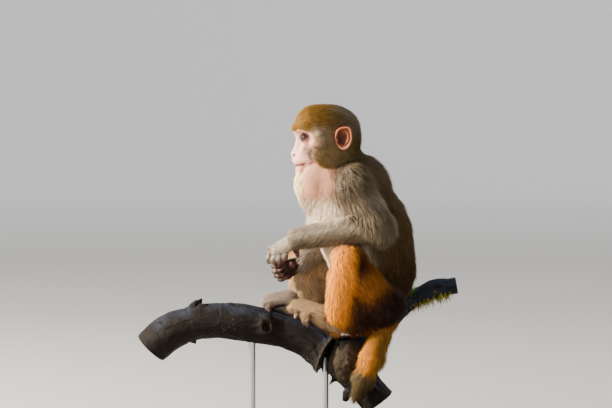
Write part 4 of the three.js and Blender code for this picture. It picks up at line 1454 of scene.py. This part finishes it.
def branchField(p):
    limb = pathPlace(p, limbPath, limbRadii)[0]
    first, last = unit(limbPath[0] - limbPath[1]), unit(limbPath[-1] - limbPath[-2])
    ends = np.maximum((p - limbPath[0]) @ first, (p - limbPath[-1]) @ last)
    limb = np.maximum(limb, ends - 0.5)  # cut off flat at both ends
    fork = pathPlace(p, forkPath, forkRadii)[0]
    fork = np.maximum(fork, (p - forkPath[-1]) @ unit(forkPath[-1] - forkPath[-2]))
    wood = blend(9, limb, fork)
    # bark flares into a thick lip, and the knob swells out of a dark gap behind it
    lip, knob = branch["lip"], branch["knob"]
    way = unit(lip["way"])
    centre = vec(*lip["at"])
    wavy = (p - centre) @ way + 2.2 * lattice(p, 22, 14)
    flare = bone(p, centre - way * 15, centre + way * 4, 23, lip["radius"])
    flare = np.maximum(flare + 1.6 * lattice(p, 8, 15), wavy)
    wood = blend(4, wood, flare)
    core = lump(p, knob["at"], vec(*knob["radii"]) * 0.86)
    gap = np.maximum(np.abs(wavy - 4.5) - 4.2, -core)
    wood = carve(wood, np.maximum(gap, -12 - p[:, 0]), 1.5)
    swell = lump(p, knob["at"], knob["radii"]) + 1.3 * lattice(p, 16, 16) + 0.7 * lattice(p, 5, 17)
    wood = blend(3, wood, np.maximum(swell, 3.5 - wavy))
    # a boss on the knob with a dark hollow beside it, and the seat under the rump
    wood = blend(2, wood, lump(p, (32, 18, 111), (6, 6.5, 7)))
    wood = carve(wood, lump(p, (36, 26, 107), (6, 4, 8)), 2)
    wood = blend(10, wood, bone(p, (-8, 30, 126), (-6, 16, 128), 20, 18))
    # an old knot hole with a raised rim on the near side
    wood = blend(6, wood, lump(p, (21, -98, 162), (8, 13, 16)))
    wood = carve(wood, lump(p, (30, -97, 162), (8, 5.5, 8.5)) + 1.5 * lattice(p, 5, 18), 2)
    for a, b, low, high in branch["warts"]:
        wood = blend(2.5, wood, bone(p, a, b, low, high) + 0.9 * lattice(p, 5, 19))
    return wood


def buildBranch():
    step = branch["step"] * coarser
    xs, ys, zs = spaced(-96, 46, step), spaced(-284, 186, step), spaced(28, 238, step)
    points, quads = surfaceOf(branchField, xs, ys, zs)
    points = smoothed(points, quads, 2)
    normals = normalsOf(points, quads)
    far, along = pathPlace(points, limbPath, limbRadii)
    farFork, alongFork = pathPlace(points, forkPath, forkRadii)
    onFork = farFork < far
    along = np.where(onFork, alongFork, along)
    grain = np.stack([along * 0.16, normals[:, 0] * 17, normals[:, 2] * 17 + normals[:, 1] * 9], 1)
    ridges = lattice(grain, 3.2, 1) * 0.7 + lattice(grain, 1.5, 2) * 0.4
    cracks = ramp(-lattice(grain * vec(1.5, 1, 1), 4.5, 4), 0.35, 0.8)
    rings = bell((along / 46 + 0.2 * lattice(points, 30, 8)) % 1, 0.5, 0.045)
    lift = branch["ridge"] * (ridges - 1.1 * cracks) + 0.7 * rings * lattice(points, 12, 6)
    lift = lift + 1.2 * lattice(points, 24, 7)
    points = points + normals * np.clip(lift - 0.8, -3.5, 1.2)[:, None]
    made = meshObject("branch", points, quads)
    putValues(made, "grain", grain, "FLOAT_VECTOR", "vector")
    # a painted bluish sheen on the top of the branch
    top = ramp(normals[:, 2] + 0.3 * lattice(points, 18, 9), 0.25, 0.95)
    knob, lip = branch["knob"], branch["lip"]
    onKnob = ramp(2.5 - lump(points, knob["at"], knob["radii"]), -1, 1.5) * ramp(points[:, 0], 6, 20)
    beyond = (points - vec(*lip["at"])) @ unit(lip["way"])
    onKnob = onKnob * ramp(beyond, 3, 7)
    hole = lump(points, (28, -97, 162), (12, 9, 12))
    onKnob = np.maximum(onKnob, ramp(-hole, -4, 0) * ramp(lattice(points, 4, 21), -0.4, 0.7) * 0.5)
    edge = bell(beyond, -1.5, 2.5) * ramp(points[:, 0], 0, 15) * ramp(lattice(points, 5, 22), -0.8, 0.4)
    onKnob = np.maximum(onKnob, edge * 0.8)
    # more painted sheen on the fork, which lies in the body's shadow
    top = np.clip(top * (1 + 2 * onFork) + 0.9 * onFork, 0, 2)
    putColours(made, "sheenKnobCrackShade", np.stack([top, onKnob, np.clip(cracks, 0, 1)], 1))
    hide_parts("perch_limb", "perch_fork")
    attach(made, "root")
    return made


moss = {
    # where on the fork it grows (share of its length), way it lies, blades, length
    "tufts": [(0.57, 0.70, (0.3, -0.3, 1), 300, 10), (0.60, 0.93, (0.4, 0.1, -1), 520, 14)],
    "colours": ((0.10, 0.20, 0.010), (0.36, 0.30, 0.02)),
}


def buildMoss():
    roots = {"place": [], "normal": [], "way": [], "length": [], "tint": []}
    for (low, high, way, count, length), shade in zip(moss["tufts"], moss["colours"]):
        share = low + (high - low) * dice.random(count) ** 0.8
        clump = 0.5 + 0.5 * np.sin(share * 90)
        where, spots = share * (len(forkPath) - 1), np.arange(len(forkPath))
        middle = np.stack([np.interp(where, spots, forkPath[:, k]) for k in range(3)], 1)
        outward = unit(vec(*way) * vec(1, 0, 1) + 0.35 * dice.normal(size=(count, 3)))
        radius = np.interp(where, spots, forkRadii)
        roots["place"].append(middle + outward * (radius[:, None] - 1.5))
        roots["normal"].append(outward)
        roots["way"].append(unit(vec(*way) + 0.7 * dice.normal(size=(count, 3))))
        roots["length"].append(length * (0.5 + 0.9 * clump * dice.random(count)))
        roots["tint"].append(vec(*shade) * (0.6 + 0.8 * dice.random((count, 1))))
    root = {key: np.concatenate(value).astype(np.float32) for key, value in roots.items()}
    total = len(root["place"])
    root["part"] = np.zeros(total, int)
    root["lift"] = np.full(total, 2.0)
    root["uv"] = np.zeros((total, 2), np.float32)
    root["strand"] = dice.random(total).astype(np.float32)
    locks, normals, faces = growLocks(root)
    made = lockObject("moss", locks, normals, faces, root, np.arange(total))
    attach(made, "root")
    return made


def barkFinish():
    finish, tree, shader = newFinish("bark")
    sheenKnobCrackShade = addNode(tree, "SeparateColor", {0: attribute(tree, "sheenKnobCrackShade")}).outputs
    place = objectPlace(tree)
    streak = noise(tree, attribute(tree, "grain", "Vector"), 0.9, 6.0, 0.6)
    base = blended(tree, streak, (0.0022, 0.0013, 0.0007), (0.012, 0.0072, 0.0036))
    # painted bluish sheen, laid over the top of the wood
    sheen = blended(tree, noise(tree, place, 55.0, 5.0, 0.7), (0.008, 0.009, 0.012), (0.036, 0.046, 0.072))
    share = maths(tree, "MULTIPLY", sheenKnobCrackShade[0], fromTo(tree, noise(tree, place, 35.0, 4.0), 0.2, 1.0))
    shade = blended(tree, share, base, sheen)
    knob = blended(tree, noise(tree, place, 320.0, 5.0, 0.8), (0.006, 0.004, 0.002), (0.070, 0.048, 0.027))
    shade = blended(tree, sheenKnobCrackShade[1], shade, knob)
    speck = addNode(tree, "TexVoronoi", {"Vector": place, "Scale": 240.0}).outputs["Distance"]
    speck = maths(tree, "LESS_THAN", speck, 0.16)
    speck = maths(tree, "MULTIPLY", speck, maths(tree, "GREATER_THAN", noise(tree, place, 28.0, 3.0), 0.6))
    shade = blended(tree, maths(tree, "MULTIPLY", speck, 0.7), shade, (0.12, 0.12, 0.115))
    # the cracks painted dark: painted shade in the grooves
    shade = blended(tree, sheenKnobCrackShade[2], shade, (0.008, 0.006, 0.005))
    height = maths(tree, "MULTIPLY_ADD", streak, 1.0, noise(tree, place, 420.0, 6.0, 0.7))
    rough = fromTo(tree, noise(tree, place, 90.0, 4.0), 0.5, 0.85)
    feed(tree, shader, {"Base Color": shade, "Normal": bumped(tree, height, 0.8, 0.0012)})
    feed(tree, shader, {"Roughness": rough, "Specular IOR Level": 0.12})
    return finish


def woodFinish():
    finish, tree, shader = newFinish("standWood")
    place = stretched(tree, 1.0, 0.09, 1.0)
    grain = noise(tree, place, 130.0, 6.0, 0.6)
    rings = addNode(tree, "TexWave", {"Vector": place, "Scale": 22.0, "Distortion": 7.0, "Detail": 3.0})
    share = maths(tree, "MULTIPLY", grain, rings.outputs["Fac"])
    shade = blended(tree, share, (0.022, 0.009, 0.004), (0.070, 0.032, 0.014))
    rough = fromTo(tree, grain, 0.28, 0.48)
    feed(tree, shader, {"Base Color": shade, "Roughness": rough, "Normal": bumped(tree, share, 0.25, 0.0003)})
    return finish


def steelFinish():
    finish, tree, shader = newFinish("steel")
    brushed = noise(tree, stretched(tree, 1.0, 1.0, 60.0), 60.0, 5.0, 0.7)
    shade = blended(tree, brushed, (0.42, 0.42, 0.43), (0.68, 0.68, 0.69))
    feed(tree, shader, {"Base Color": shade, "Metallic": 1.0, "Roughness": fromTo(tree, brushed, 0.24, 0.42)})
    feed(tree, shader, {"Normal": bumped(tree, brushed, 0.15, 0.0002)})
    return finish


def refinish(node, finish):
    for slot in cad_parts[node].material_slots:
        slot.material = finish


addCamera()
addStudio()

points, quads, dressed, partNames = buildSkin()
skin = meshObject("skin", points, quads)
bpy.context.view_layer.objects.active = skin
skin.select_set(True)
skin.data.uv_layers.new(name="OFBake")
bpy.ops.object.mode_set(mode="EDIT")
bpy.ops.mesh.select_all(action="SELECT")
bpy.ops.uv.smart_project(angle_limit=math.radians(66), island_margin=0.001)
bpy.ops.object.mode_set(mode="OBJECT")
cornerUv = np.empty(quads.size * 2, np.float32)
skin.data.uv_layers["OFBake"].data.foreach_get("uv", cornerUv)
cornerUv = cornerUv.reshape(-1, 2)
print("skin unwrapped")
putColours(skin, "tint", dressed["tint"])
putValues(skin, "bare", 1 - np.clip(dressed["fur"] * 1.5, 0, 1))
fleshNodes = [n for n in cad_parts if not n.startswith(("stand", "perch", "eye"))]
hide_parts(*fleshNodes)
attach(skin, "root")
toneGroup, reliefGroup = coatToneGroup(), skinReliefGroup()
skin.data.materials.append(skinFinish(toneGroup, reliefGroup))
fur = furFinish(toneGroup)
for piece in buildCoat(points, quads, dressed, cornerUv, partNames):
    piece.data.materials.append(fur)

eyeLook = eyeFinish()
for side in eyeMiddle:
    buildEye(side).data.materials.append(eyeLook)
buildNails().data.materials.append(nailFinish())
buildBranch().data.materials.append(barkFinish())
buildMoss().data.materials.append(fur)
refinish("stand_base", woodFinish())
steel = steelFinish()
refinish("stand_rod_front", steel)
refinish("stand_rod_back", steel)
print("branch and stand done")
